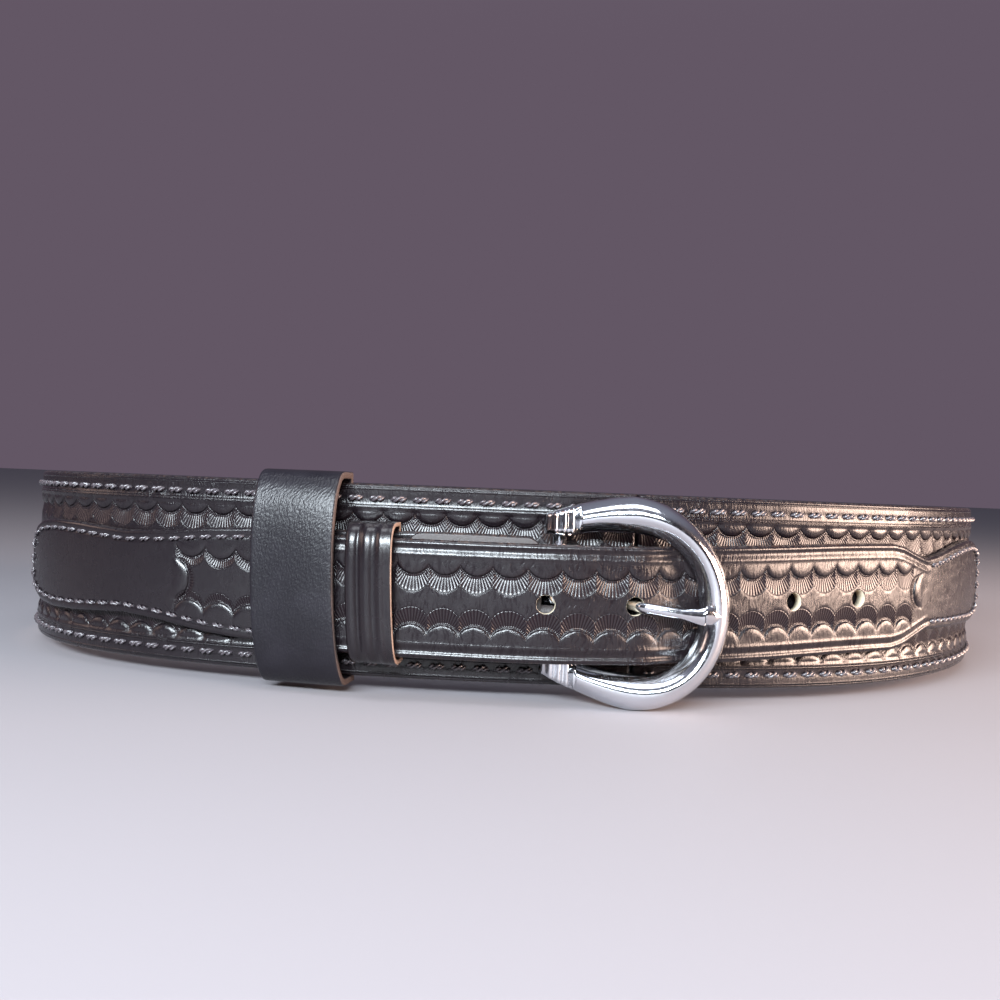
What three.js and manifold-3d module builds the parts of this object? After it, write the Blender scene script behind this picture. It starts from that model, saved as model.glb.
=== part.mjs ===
// A western belt, fastened and standing on its edge as a closed ring.
//
// The belt frame: X to the wearer's left along the front, Y towards the back, Z up, millimetres.
// "at" is the distance along the outer face of the base strap, measured from the buckle's heel bar
// and growing to the right. "lift" is the height outward from that face, and "height" is the
// distance above the base strap's lower edge.

import * as THREE from "three";
import { mergeVertices } from "three/addons/utils/BufferGeometryUtils.js";
import Module from "manifold-3d";

// Fit of the ring: 30 inches to the middle hole, worn one hole looser.
const waistSize = 762;
const holePitch = 19.4;
const holeCount = 5;
const holeDiameter = 4.2;
const holesLoose = 1;
const firstHoleAt = -2.9;

// Base strap: the wide belt whose two ends meet behind the buckle.
const beltWidth = 44.5;
const baseThickness = 3.4;
const seamAt = 18.2;
const seamGap = 0.8;

// The two narrower straps sewn on its face.
const strapWidth = 26.4;
const strapThickness = 2.4;
const strapBevel = 0.5;
const buckleTabLength = 45;
const buckleStrapReach = 150.2;
const foldLength = 33.3;
const foldThickness = 1.8;
const foldWidth = 22.2;
const foldNeckLength = 4;
const tongueTabLength = 45;
const tongueReach = 146.5;
const tongueLanding = 72;
const tipInset = 3;
const foldCorner = 3;

// Keepers.
const wideKeeperWidth = 19.6;
const wideKeeperWall = 1.8;
const wideKeeperSpare = 0.8;
const wideKeeperCrown = 3;
const ribbedKeeperWidth = 10.6;
const ribbedKeeperWall = 1.2;
const ribHeight = 0.9;
const ribbedKeeperSpare = 0.6;
const ribbedKeeperCrown = 5;
const keeperGap = 2.6;
const foldGap = 1.5;
const keeperSkew = 0.045;
const keeperBow = 0.9;

// Buckle: a horseshoe frame with two feet and a heel bar, and a prong on the bar.
const barDiameter = 3.2;
const frameHeight = 47.8;
const frameReach = 38.5;
const frameDrop = 2.65;
const frameSpare = 1.9;
const armWidth = 8.25;
const rimWidth = 7.05;
const bandDepth = 4.6;
const apexAt = 16;
const footStart = -2.7;
const footEnd = 3.5;
const footDepth = 5.2;
const footGap = 2.3;
const buckleHeight = 21.25;
const prongDiameter = 2.1;
const prongLoopWidth = 4;
const prongLoopWall = 1.5;
const prongTipWidth = 4.1;
const prongTipDepth = 1.7;
const prongTipInset = 3.6;
const prongDrop = 0.5;

// Clear space between neighbours, and the spacing of the sections along the straps.
const clearance = 0.3;
const ringStep = 7.5;
const strapStep = 3.75;
const holeSides = 16;
const prongSides = 10;
const prongSteps = 28;

// Control points of the ring's plan, as shares of its mean diameter, from the heel bar rightwards.
const ringPlan = [
  { across: 0.043, back: -0.007 },
  { across: 0.317, back: 0.028 },
  { across: 0.517, back: 0.208 },
  { across: 0.609, back: 0.466 },
  { across: 0.525, back: 0.731 },
  { across: 0.285, back: 0.87 },
  { across: 0.022, back: 0.885 },
  { across: -0.234, back: 0.795 },
  { across: -0.427, back: 0.62 },
  { across: -0.571, back: 0.376 },
  { across: -0.485, back: 0.101 },
  { across: -0.206, back: 0.007 },
];

// Half widths of the buckle strap's tab: distance from its tip in tab lengths, half width as a
// share of the strap's half width.
const buckleTabOutline = [
  { from: 0, half: 0.3 },
  { from: 0.03, half: 0.5 },
  { from: 0.1, half: 0.68 },
  { from: 0.2, half: 0.79 },
  { from: 0.38, half: 0.855 },
  { from: 0.62, half: 0.84 },
  { from: 1, half: 0.76 },
  { from: 1.25, half: 0.82 },
  { from: 1.5, half: 0.93 },
  { from: 1.8, half: 1 },
];

// The same for the tongue's tab, whose neck is narrower and whose shoulders are shorter.
const tongueTabOutline = [
  { from: 0, half: 0.34 },
  { from: 0.03, half: 0.56 },
  { from: 0.08, half: 0.7 },
  { from: 0.12, half: 0.78 },
  { from: 0.22, half: 0.845 },
  { from: 0.33, half: 0.86 },
  { from: 0.5, half: 0.835 },
  { from: 0.7, half: 0.78 },
  { from: 0.82, half: 0.735 },
  { from: 0.92, half: 0.705 },
  { from: 1, half: 0.7 },
  { from: 1.08, half: 0.78 },
  { from: 1.16, half: 0.87 },
  { from: 1.23, half: 0.95 },
  { from: 1.32, half: 1 },
];

// Half widths of the tongue's rounded tip, by the distance from its end in strap widths.
const tipOutline = [
  { from: 0, half: 0.35 },
  { from: 0.05, half: 0.6 },
  { from: 0.13, half: 0.78 },
  { from: 0.26, half: 0.93 },
  { from: 0.42, half: 1 },
];

// Height of each strap's centre line, as a share of the belt's width, by the share of its reach.
const buckleStrapSag = [
  { along: -1, height: 0.475 },
  { along: -0.7, height: 0.472 },
  { along: -0.47, height: 0.452 },
  { along: -0.16, height: 0.474 },
  { along: 0.03, height: 0.466 },
];
const tongueSag = [
  { along: -0.46, height: 0.437 },
  { along: -0.09, height: 0.438 },
  { along: 0.12, height: 0.443 },
  { along: 0.5, height: 0.487 },
  { along: 0.68, height: 0.491 },
  { along: 0.747, height: 0.506 },
  { along: 0.785, height: 0.521 },
  { along: 0.84, height: 0.539 },
  { along: 0.9, height: 0.545 },
  { along: 1, height: 0.543 },
];

// Ribs across the narrow keeper, by the share of its width.
const ribProfile = [
  { across: 0, rise: 0.25 },
  { across: 0.05, rise: 1 },
  { across: 0.22, rise: 1 },
  { across: 0.29, rise: 0.2 },
  { across: 0.36, rise: 1 },
  { across: 0.56, rise: 1 },
  { across: 0.63, rise: 0.2 },
  { across: 0.7, rise: 1 },
  { across: 0.8, rise: 1 },
  { across: 0.85, rise: 0.4 },
  { across: 1, rise: 0.35 },
];

// Places that follow from the sizes above.
const innerGirth = waistSize + holesLoose * holePitch;
const outerGirth = innerGirth + 2 * Math.PI * baseThickness;
const prongHoleAt = firstHoleAt + holePitch;
const ribbedKeeperEnd = -foldLength - foldGap;
const ribbedKeeperStart = ribbedKeeperEnd - ribbedKeeperWidth;
const wideKeeperEnd = ribbedKeeperStart - keeperGap;
const wideKeeperStart = wideKeeperEnd - wideKeeperWidth;
const tongueTipAt = wideKeeperStart + tipInset;
const barRadius = barDiameter / 2;
const barLift = 2 * clearance + foldThickness + barRadius;
const foldRadius = barRadius + clearance + foldThickness / 2;
const strapHalf = strapWidth / 2;

/** Reads a table of named columns at a place, straight or eased from row to row. */
function readTable(rows, column, value, place, eased = false) {
  const last = rows.length - 1;
  if (place <= rows[0][column]) return rows[0][value];
  if (place >= rows[last][column]) return rows[last][value];
  const next = rows.findIndex((row) => row[column] > place);
  const low = rows[next - 1];
  const high = rows[next];
  const share = (place - low[column]) / (high[column] - low[column]);
  const blend = eased ? THREE.MathUtils.smoothstep(share, 0, 1) : share;
  return THREE.MathUtils.lerp(low[value], high[value], blend);
}

/** The closed plan of the base strap's outer face: a uniform cubic spline through its controls. */
class RingOutline extends THREE.Curve {
  constructor(rows, girth) {
    super();
    this.arcLengthDivisions = 2400;
    this.rows = rows;
    this.scale = girth / Math.PI;
    this.scale *= girth / this.getLength();
    this.updateArcLengths();
  }

  /** Blends the four controls around a place with the given weights. */
  blend(share, weigh) {
    const count = this.rows.length;
    const spot = THREE.MathUtils.euclideanModulo(share, 1) * count;
    const first = Math.floor(spot) % count;
    const weights = weigh(spot - Math.floor(spot));
    const sum = new THREE.Vector3();
    weights.forEach((weight, step) => {
      const row = this.rows[(first + step - 1 + count) % count];
      sum.x += weight * row.across * this.scale;
      sum.y += weight * row.back * this.scale;
    });
    return sum;
  }

  getPoint(share) {
    return this.blend(share, (t) => [
      (1 - t) ** 3 / 6,
      (3 * t ** 3 - 6 * t ** 2 + 4) / 6,
      (-3 * t ** 3 + 3 * t ** 2 + 3 * t + 1) / 6,
      t ** 3 / 6,
    ]);
  }

  getTangent(share) {
    const slope = this.blend(share, (t) => [
      -((1 - t) ** 2) / 2,
      (9 * t ** 2 - 12 * t) / 6,
      (-9 * t ** 2 + 6 * t + 3) / 6,
      t ** 2 / 2,
    ]);
    return slope.normalize();
  }
}

const ring = new RingOutline(ringPlan, outerGirth);

/** The point and the outward direction at a distance along the ring. */
function ringFrame(at) {
  const share = THREE.MathUtils.euclideanModulo(at / outerGirth, 1);
  const along = ring.getTangentAt(share);
  return { point: ring.getPointAt(share), along, out: new THREE.Vector3(along.y, -along.x, 0) };
}

/** A point by its distance along the ring, its lift off the outer face and its height. */
function place(at, lift, height) {
  const spot = ringFrame(at);
  return spot.point.addScaledVector(spot.out, lift).setZ(height);
}

/** Evenly spaced places from start to end, with extra places where the outline turns. */
function stations(start, end, step, extra = []) {
  const places = [start, end, ...extra.filter((at) => at > start && at < end)];
  for (let at = Math.ceil(start / step) * step; at < end; at += step) places.push(at);
  places.sort((a, b) => a - b);
  const least = step / 8;
  const kept = places.filter((at, index) => index === 0 || at - places[index - 1] > least);
  kept[kept.length - 1] = end;
  return kept;
}

/** Makes a geometry from points and triangles, with its faces pointing out. */
function closedGeometry(points, triangles) {
  let volume = 0;
  for (const [a, b, c] of triangles) {
    volume += points[a].dot(new THREE.Vector3().crossVectors(points[b], points[c]));
  }
  const index = triangles.flatMap(([a, b, c]) => (volume > 0 ? [a, b, c] : [a, c, b]));
  const geometry = new THREE.BufferGeometry().setFromPoints(points);
  geometry.setIndex(index);
  geometry.computeVertexNormals();
  return geometry;
}

/** Joins two neighbouring rings of points with triangles. */
function wall(first, second, count, triangles, flipped = false) {
  for (let i = 0; i < count; i += 1) {
    const j = (i + 1) % count;
    const pair = [
      [first + i, first + j, second + j],
      [first + i, second + j, second + i],
    ];
    pair.forEach(([a, b, c]) => triangles.push(flipped ? [a, c, b] : [a, b, c]));
  }
}

/** A closed skin through sections of equal point count, capped at both ends. */
function skin(sections) {
  const count = sections[0].length;
  const points = sections.flat();
  const triangles = [];
  for (let row = 0; row + 1 < sections.length; row += 1) {
    wall(row * count, (row + 1) * count, count, triangles);
  }
  const last = (sections.length - 1) * count;
  for (let i = 1; i + 1 < count; i += 1) {
    triangles.push([0, i + 1, i], [last, last + i, last + i + 1]);
  }
  return closedGeometry(points, triangles);
}

/** A band open along its length: an outer and an inner skin joined at both ends. */
function sleeve(outer, inner) {
  const count = outer[0].length;
  const points = [...outer.flat(), ...inner.flat()];
  const offset = outer.length * count;
  const last = (outer.length - 1) * count;
  const triangles = [];
  for (let row = 0; row + 1 < outer.length; row += 1) {
    wall(row * count, (row + 1) * count, count, triangles);
    wall(offset + row * count, offset + (row + 1) * count, count, triangles, true);
  }
  wall(offset, 0, count, triangles);
  wall(last, offset + last, count, triangles);
  return closedGeometry(points, triangles);
}

/** A strap's cross-section with its four edges bevelled, as (lift, height) pairs. */
function strapSection(lift, thickness, low, high, bevel) {
  const outer = lift + thickness;
  return [
    [lift, low + bevel],
    [lift + bevel, low],
    [outer - bevel, low],
    [outer, low + bevel],
    [outer, high - bevel],
    [outer - bevel, high],
    [lift + bevel, high],
    [lift, high - bevel],
  ];
}

/** The height of the buckle strap's centre line. */
function buckleStrapCentre(at) {
  return beltWidth * readTable(buckleStrapSag, "along", "height", at / buckleStrapReach);
}

/** The height of the tongue's centre line. */
function tongueCentre(at) {
  return beltWidth * readTable(tongueSag, "along", "height", at / tongueReach);
}

// Lifts of the stacked layers where they are held, from the base outward.
const liftOnBase = clearance;
const liftOnKeeper = 2 * clearance + ribbedKeeperWall;
const foldOnStrap = liftOnKeeper + strapThickness + clearance;
const foldOverBar = barLift + barRadius + clearance;
const tongueOverBar = foldOverBar + foldThickness + clearance;

// The tongue's lift at the prong's hole and under the rim, as shares of its lift over the bar, and
// where it is down, as a share of the distance to the rim's inner edge.
const tongueDescent = { atProng: 0.87, underRim: 0.55, down: 0.88 };
const rimAt = tongueDescent.down * (frameReach - rimWidth);

const buckleStrapLifts = [
  { at: wideKeeperStart, lift: liftOnBase },
  { at: ribbedKeeperStart - keeperGap / 2, lift: liftOnKeeper },
  { at: -foldLength, lift: liftOnKeeper },
  { at: -foldLength / 2, lift: liftOnBase },
];
const foldLifts = [
  { at: -foldLength, lift: foldOnStrap },
  { at: footStart, lift: foldOverBar },
];
const tongueLifts = [
  { at: wideKeeperStart, lift: liftOnBase + strapThickness + clearance },
  { at: ribbedKeeperStart - keeperGap / 2, lift: liftOnKeeper + strapThickness + clearance },
  { at: -foldLength, lift: foldOnStrap + foldThickness + clearance },
  { at: footStart, lift: tongueOverBar },
  { at: prongHoleAt, lift: tongueOverBar * tongueDescent.atProng },
  { at: rimAt, lift: tongueOverBar * tongueDescent.underRim },
  { at: tongueLanding, lift: liftOnBase },
];

/** The lift of a layer's inner face at a distance along the ring. */
function liftOf(rows, at) {
  return readTable(rows, "at", "lift", at, true);
}

/** The buckle strap's thickness: it is skived down before the fold. */
function buckleStrapThickness(at) {
  const share = THREE.MathUtils.smoothstep(at, -foldLength, -foldLength / 2);
  return THREE.MathUtils.lerp(strapThickness, foldThickness, share);
}

/** Half the buckle strap's width: its tab, its full width and its neck between the feet. */
function buckleStrapHalf(at) {
  const fromTip = (at + buckleStrapReach) / buckleTabLength;
  const tab = strapHalf * readTable(buckleTabOutline, "from", "half", fromTip);
  const neck = THREE.MathUtils.smoothstep(at, footStart - foldNeckLength, footStart - clearance);
  return THREE.MathUtils.lerp(tab, foldWidth / 2, neck);
}

/** Half the folded end's width: rounded corners at its end, and the same neck. */
function foldHalf(at) {
  const fromEnd = Math.min(at + foldLength, foldCorner);
  const drop = foldCorner - Math.sqrt(foldCorner ** 2 - (foldCorner - fromEnd) ** 2);
  return buckleStrapHalf(at) - drop;
}

/** Half the tongue's width, from its hidden tip to its tab. */
function tongueHalf(at) {
  const fromTip = (at - tongueTipAt) / strapWidth;
  const fromTab = (tongueReach - at) / tongueTabLength;
  const tip = readTable(tipOutline, "from", "half", fromTip);
  return strapHalf * Math.min(tip, readTable(tongueTabOutline, "from", "half", fromTab));
}

/** The base strap: one wide band round the waist, its ends meeting behind the buckle. */
function baseStrap() {
  const start = seamAt + seamGap / 2;
  const section = strapSection(-baseThickness, baseThickness, 0, beltWidth, strapBevel);
  const places = stations(start, start + outerGirth - seamGap, ringStep);
  return skin(places.map((at) => section.map(([lift, height]) => place(at, lift, height))));
}

/** The buckle strap: a tab, a band under the keepers, and an end folded round the heel bar. */
function buckleStrap() {
  const tabRows = buckleTabOutline.map((row) => row.from * buckleTabLength - buckleStrapReach);
  const lower = stations(-buckleStrapReach, 0, strapStep, tabRows);
  const cornerRows = [0.02, 0.1, 0.3, 0.6, 1].map((share) => share * foldCorner - foldLength);
  const upper = stations(-foldLength, 0, strapStep, cornerRows).reverse();
  const foldSteps = 8;
  const sections = [];

  const addSection = (at, lift, slant, thickness, half) => {
    const centre = buckleStrapCentre(at);
    const shape = strapSection(-thickness / 2, thickness, centre - half, centre + half, strapBevel);
    sections.push(shape.map(([rise, height]) => {
      return place(at - rise * Math.sin(slant), lift + rise * Math.cos(slant), height);
    }));
  };
  for (const at of lower) {
    const thickness = buckleStrapThickness(at);
    const lift = liftOf(buckleStrapLifts, at) + thickness / 2;
    addSection(at, lift, 0, thickness, buckleStrapHalf(at));
  }
  for (let step = 1; step < foldSteps; step += 1) {
    const slant = (Math.PI * step) / foldSteps;
    const at = foldRadius * Math.sin(slant);
    addSection(at, barLift - foldRadius * Math.cos(slant), slant, foldThickness, foldWidth / 2);
  }
  for (const at of upper) {
    const lift = liftOf(foldLifts, at) + foldThickness / 2;
    addSection(at, lift, Math.PI, foldThickness, foldHalf(at));
  }
  return cut(skin(sections), [prongSlot()]);
}

/** The tongue: a tab at the right, the punched holes, and a tip hidden in the wide keeper. */
function tongueStrap() {
  const tipRows = tipOutline.map((row) => tongueTipAt + row.from * strapWidth);
  const tabRows = tongueTabOutline.map((row) => tongueReach - row.from * tongueTabLength);
  const places = stations(tongueTipAt, tongueReach, strapStep, [...tipRows, ...tabRows]);
  const sections = places.map((at) => {
    const centre = tongueCentre(at);
    const half = tongueHalf(at);
    const lift = liftOf(tongueLifts, at);
    const shape = strapSection(lift, strapThickness, centre - half, centre + half, strapBevel);
    return shape.map(([rise, height]) => place(at, rise, height));
  });
  const holes = Array.from({ length: holeCount }, (_, index) => punch(firstHoleAt + index * holePitch));
  return cut(skin(sections), holes);
}

/** A punch that passes square through the tongue. */
function punch(at) {
  const reach = 3 * strapThickness;
  const geometry = new THREE.CylinderGeometry(holeDiameter / 2, holeDiameter / 2, reach, holeSides);
  const { along, out } = ringFrame(at);
  const centre = place(at, liftOf(tongueLifts, at) + strapThickness / 2, tongueCentre(at));
  const up = new THREE.Vector3(0, 0, 1);
  const back = out.clone().negate();
  return geometry.applyMatrix4(new THREE.Matrix4().makeBasis(along, back, up).setPosition(centre));
}

/** A point of a keeper: both sit a little askew, their tops to the left, and bow to the left. */
function keeperPlace(at, lift, height) {
  const fromMiddle = height - beltWidth / 2;
  const bow = keeperBow * Math.max(0, 1 - (fromMiddle / (beltWidth / 2)) ** 2);
  return place(at - keeperSkew * fromMiddle - bow, lift, height);
}

/** One closed section of a keeper: a flat back and a crowned front between two heights. */
function keeperSection(at, back, foot, low, high, crown, wall) {
  const archSteps = 16;
  const middle = (low + high) / 2;
  const half = (high - low) / 2;
  const outerLift = liftOf(tongueLifts, at) + strapThickness + clearance;
  const corners = [-1, 1].map((side) => tongueCentre(at) + side * (strapHalf - strapBevel));
  const arch = (height, span) => {
    return Math.max(0, 1 - Math.abs((height - middle) / span) ** crown) ** (1 / crown);
  };
  const rise = Math.max(...corners.map((height) => (outerLift - foot) / arch(height, half)));
  const points = [keeperPlace(at, back - wall, low - wall)];
  for (let step = 0; step <= archSteps; step += 1) {
    const height = middle - (half + wall) * Math.cos((Math.PI * step) / archSteps);
    points.push(keeperPlace(at, foot + (rise + wall) * arch(height, half + wall), height));
  }
  points.push(keeperPlace(at, back - wall, high + wall));
  return points;
}

/** The wide keeper: a plain band round the base strap and both straps on it. */
function wideKeeper() {
  const back = -baseThickness - clearance;
  const high = beltWidth + wideKeeperSpare;
  const places = stations(wideKeeperStart, wideKeeperEnd, strapStep);
  const ringOf = (wallSize) => places.map((at) => {
    return keeperSection(at, back, clearance, -clearance, high, wideKeeperCrown, wallSize);
  });
  return sleeve(ringOf(wideKeeperWall), ringOf(0));
}

/** The ribbed keeper: a narrow band round the tongue and the buckle strap only. */
function ribbedKeeper() {
  const places = ribProfile.map((row) => ribbedKeeperStart + row.across * ribbedKeeperWidth);
  const ringOf = (wallAt) => places.map((at, index) => {
    const back = liftOf(buckleStrapLifts, at) - clearance;
    const low = Math.min(tongueCentre(at), buckleStrapCentre(at)) - strapHalf - clearance - ribbedKeeperSpare;
    const high = Math.max(tongueCentre(at), buckleStrapCentre(at)) + strapHalf + clearance + ribbedKeeperSpare;
    return keeperSection(at, back, back + clearance, low, high, ribbedKeeperCrown, wallAt(index));
  });
  const outer = ringOf((index) => ribbedKeeperWall + ribHeight * ribProfile[index].rise);
  return sleeve(flattenBack(outer, places), ringOf(() => 0));
}

/** Keeps the ribs off the keeper's back, which lies flat on the base strap. */
function flattenBack(sections, places) {
  return sections.map((points, index) => points.map((point, corner) => {
    if (corner > 0 && corner < points.length - 1) return point;
    const at = places[index];
    return keeperPlace(at, liftOf(buckleStrapLifts, at) - clearance - ribbedKeeperWall, point.z);
  }));
}

/** The buckle's own frame: its heel bar's centre, with X along the frame and Y into the belt. */
function buckleMatrix() {
  const { along, out } = ringFrame(frameReach / 2);
  const up = new THREE.Vector3(0, 0, 1);
  const origin = place(0, barLift, buckleHeight);
  return new THREE.Matrix4().makeBasis(along, out.negate(), up).setPosition(origin);
}

/** A point of the buckle by its distance from the bar, its rise outward and its height. */
function bucklePoint(along, rise, height) {
  return new THREE.Vector3(along, -rise, height - (frameDrop * along) / frameReach);
}

const toBelt = buckleMatrix();
const fromBelt = toBelt.clone().invert();
const frameHalf = frameHeight / 2;
const innerHalf = frameHalf - armWidth;
const footInner = foldWidth / 2 + footGap;
const archRise = liftOf(tongueLifts, rimAt) + strapThickness + frameSpare - barLift;

// The frame's outline from a foot to the apex, by the share of the distance to the apex: the outer
// edge as a share of half its height, and the inner edge as a share of the way out from the foot.
const armOutline = [
  { along: -0.17, outer: 0.774, inner: 0 },
  { along: 0, outer: 0.818, inner: 0 },
  { along: 0.16, outer: 0.855, inner: 0 },
  { along: 0.31, outer: 0.886, inner: 0.4 },
  { along: 0.5, outer: 0.926, inner: 0.71 },
  { along: 0.75, outer: 0.973, inner: 0.93 },
  { along: 1, outer: 1, inner: 1 },
];

// The rise of the frame's back, from the heel bar's back to the full arch, by the share of its reach.
const frameArch = [
  { along: -0.07, rise: 0 },
  { along: 0.026, rise: 0 },
  { along: 0.18, rise: 0.32 },
  { along: 0.364, rise: 0.667 },
  { along: 0.6, rise: 0.952 },
  { along: 1, rise: 1 },
];

// The band's front, from its inner to its outer edge: a narrow bevel, a crest and a long slope.
const bandShape = [
  { across: 0, rise: 0.14 },
  { across: 0.26, rise: 0.8 },
  { across: 0.48, rise: 1 },
  { across: 0.75, rise: 0.82 },
  { across: 0.91, rise: 0.46 },
  { across: 1, rise: 0.1 },
];

// The barrel of a foot: its depth as a share of the foot's depth, by the share of its length.
const footShape = [
  { along: 0, depth: 0.26 },
  { along: 0.08, depth: 0.62 },
  { along: 0.25, depth: 0.93 },
  { along: 0.5, depth: 1 },
  { along: 0.75, depth: 0.93 },
  { along: 0.94, depth: 0.78 },
  { along: 1.2, depth: 0.85 },
];

/** The rise of the frame's back over the heel bar. */
function backRise(along) {
  const share = readTable(frameArch, "along", "rise", along / frameReach);
  return THREE.MathUtils.lerp(-barRadius, archRise, share);
}

/** The depth of the frame at a distance from the bar: its feet are fuller than its band. */
function frameDepth(along) {
  const share = (along - footStart) / (footEnd - footStart);
  const foot = footDepth * readTable(footShape, "along", "depth", share);
  const blend = THREE.MathUtils.smoothstep(share, 1, 1.2);
  return THREE.MathUtils.lerp(foot, bandDepth, blend);
}

/** The inner and the outer edge of the frame's upper half, from its foot to the rim. */
function frameEdges() {
  const arcSteps = 14;
  const innerPower = 2.4;
  const footRows = footShape.map((row) => footStart + row.along * (footEnd - footStart));
  const armRows = armOutline.map((row) => row.along * apexAt).filter((along) => along > footEnd + 1);
  const edges = [...footRows, ...armRows].map((along) => {
    const share = along / apexAt;
    const inner = THREE.MathUtils.lerp(footInner, innerHalf, readTable(armOutline, "along", "inner", share));
    const outer = frameHalf * readTable(armOutline, "along", "outer", share);
    return [[along, inner], [along, outer]];
  });
  const outerRun = frameReach - apexAt;
  const innerRun = outerRun - rimWidth;
  for (let step = 1; step <= arcSteps; step += 1) {
    const angle = (step / arcSteps) * (Math.PI / 2);
    const run = Math.sin(angle);
    const drop = Math.max(0, Math.cos(angle));
    edges.push([
      [apexAt + innerRun * run ** (2 / innerPower), innerHalf * drop ** (2 / innerPower)],
      [apexAt + outerRun * run, frameHalf * drop],
    ]);
  }
  return edges;
}

/** One section across the frame's band, on the upper or the lower side. */
function bandSection([inner, outer], side) {
  const spot = (across, rise) => {
    const along = THREE.MathUtils.lerp(inner[0], outer[0], across);
    const height = THREE.MathUtils.lerp(inner[1], outer[1], across);
    return bucklePoint(along, backRise(along) + rise * frameDepth(along), side * height);
  };
  return [spot(0, 0), ...bandShape.map((row) => spot(row.across, row.rise)), spot(1, 0)];
}

/** The buckle's frame: the domed horseshoe band with its two feet, and the heel bar, in one piece. */
function buckleFrame() {
  const edges = frameEdges();
  const upper = edges.map((edge) => bandSection(edge, 1));
  const lower = edges.slice(0, -1).reverse().map((edge) => bandSection(edge, -1));
  const bar = new THREE.CylinderGeometry(barRadius, barRadius, 2 * footInner + barDiameter, holeSides);
  bar.rotateX(Math.PI / 2);
  return joined([skin([...upper, ...lower]), bar]).applyMatrix4(toBelt);
}

/** The slot in the fold that the prong's loop turns in. */
function prongSlot() {
  const loop = barRadius + clearance + prongLoopWall;
  const length = 2 * (loop + 2 * clearance) + foldThickness;
  const depth = 2 * foldOverBar;
  const slot = new THREE.BoxGeometry(length, depth, prongLoopWidth + 2 * clearance);
  return slot.translate(foldThickness / 2, 0, 0).applyMatrix4(toBelt);
}

/** The prong: a loop on the heel bar, a bent shaft through the hole and a flat tip on the rim. */
function buckleProng() {
  const radius = prongDiameter / 2;
  const loopInner = barRadius + clearance;
  const loopOuter = loopInner + prongLoopWall;
  const outline = new THREE.Shape().absarc(0, 0, loopOuter, 0, 2 * Math.PI, false);
  outline.holes.push(new THREE.Path().absarc(0, 0, loopInner, 0, 2 * Math.PI, true));
  const options = { depth: prongLoopWidth, bevelEnabled: false, curveSegments: 8 };
  const loop = new THREE.ExtrudeGeometry(outline, options).translate(0, 0, -prongLoopWidth / 2);

  const hole = place(prongHoleAt, liftOf(tongueLifts, prongHoleAt), tongueCentre(prongHoleAt));
  hole.applyMatrix4(fromBelt);
  const holeDrop = hole.z + (frameDrop * hole.x) / frameReach;
  const inside = -hole.y;
  const outside = inside + strapThickness;
  const rest = archRise + bandDepth + clearance + radius;
  const tipAt = frameReach - prongTipInset;
  const route = new THREE.CatmullRomCurve3([
    bucklePoint(loopInner + prongLoopWall / 2, 0, 0),
    bucklePoint(hole.x * 0.5, inside * 0.1, holeDrop * 0.5),
    bucklePoint(hole.x - 2.5 * radius, inside * 0.28, holeDrop * 0.9),
    bucklePoint(hole.x - 0.15 * radius, (inside + outside) / 2, holeDrop),
    bucklePoint(hole.x + 2.2 * radius, outside + 2 * radius, holeDrop * 0.88),
    bucklePoint(frameReach - rimWidth, rest - radius * 0.3, holeDrop - prongDrop * 0.7),
    bucklePoint(tipAt, rest, -prongDrop),
  ], false, "centripetal");
  const sections = prongShape.map((row) => {
    const centre = route.getPoint(row.along);
    const along = route.getTangent(row.along);
    const side = new THREE.Vector3(0, 0, 1);
    const rise = new THREE.Vector3().crossVectors(side, along).normalize();
    const width = (row.wide * prongTipWidth + (1 - row.wide) * prongDiameter) / 2;
    const depth = (row.wide * prongTipDepth + (1 - row.wide) * prongDiameter) / 2;
    return Array.from({ length: prongSides }, (_, corner) => {
      const angle = (2 * Math.PI * corner) / prongSides;
      const point = centre.clone().addScaledVector(side, width * row.size * Math.cos(angle));
      return point.addScaledVector(rise, depth * row.size * Math.sin(angle));
    });
  });
  return joined([loop, skin(sections)]).applyMatrix4(toBelt);
}

// Sections along the prong: share of its route, share of the flat tip's shape, and overall size.
const prongShape = [
  ...Array.from({ length: prongSteps - 4 }, (_, step) => ({ along: step / prongSteps, wide: 0, size: 1 })),
  { along: 0.86, wide: 0.5, size: 1 },
  { along: 0.91, wide: 1, size: 1 },
  { along: 0.94, wide: 0.9, size: 1 },
  { along: 1, wide: 0.1, size: 0.4 },
];

const manifold = await Module();
manifold.setup();

/** Turns a closed geometry into a solid that can be cut and joined. */
function toSolid(geometry) {
  const bare = geometry.clone();
  bare.deleteAttribute("normal");
  bare.deleteAttribute("uv");
  const merged = mergeVertices(bare, 1e-5);
  return new manifold.Manifold(new manifold.Mesh({
    numProp: 3,
    vertProperties: new Float32Array(merged.attributes.position.array),
    triVerts: new Uint32Array(merged.index.array),
  }));
}

/** Turns a solid back into a geometry. */
function toGeometry(solid) {
  const mesh = solid.getMesh();
  const geometry = new THREE.BufferGeometry();
  geometry.setAttribute("position", new THREE.BufferAttribute(new Float32Array(mesh.vertProperties), 3));
  geometry.setIndex(new THREE.BufferAttribute(new Uint32Array(mesh.triVerts), 1));
  geometry.computeVertexNormals();
  return geometry;
}

/** Cuts tools out of a geometry. */
function cut(geometry, tools) {
  return toGeometry(tools.reduce((solid, tool) => solid.subtract(toSolid(tool)), toSolid(geometry)));
}

/** Joins geometries that reach into each other. */
function joined(geometries) {
  return toGeometry(geometries.map(toSolid).reduce((whole, solid) => whole.add(solid)));
}

const glossyLeather = { color: 0x17131a, roughness: 0.3, metalness: 0 };
const grainedLeather = { color: 0x14141a, roughness: 0.55, metalness: 0 };
const chrome = { color: 0xd6d8dd, roughness: 0.1, metalness: 1 };

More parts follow.
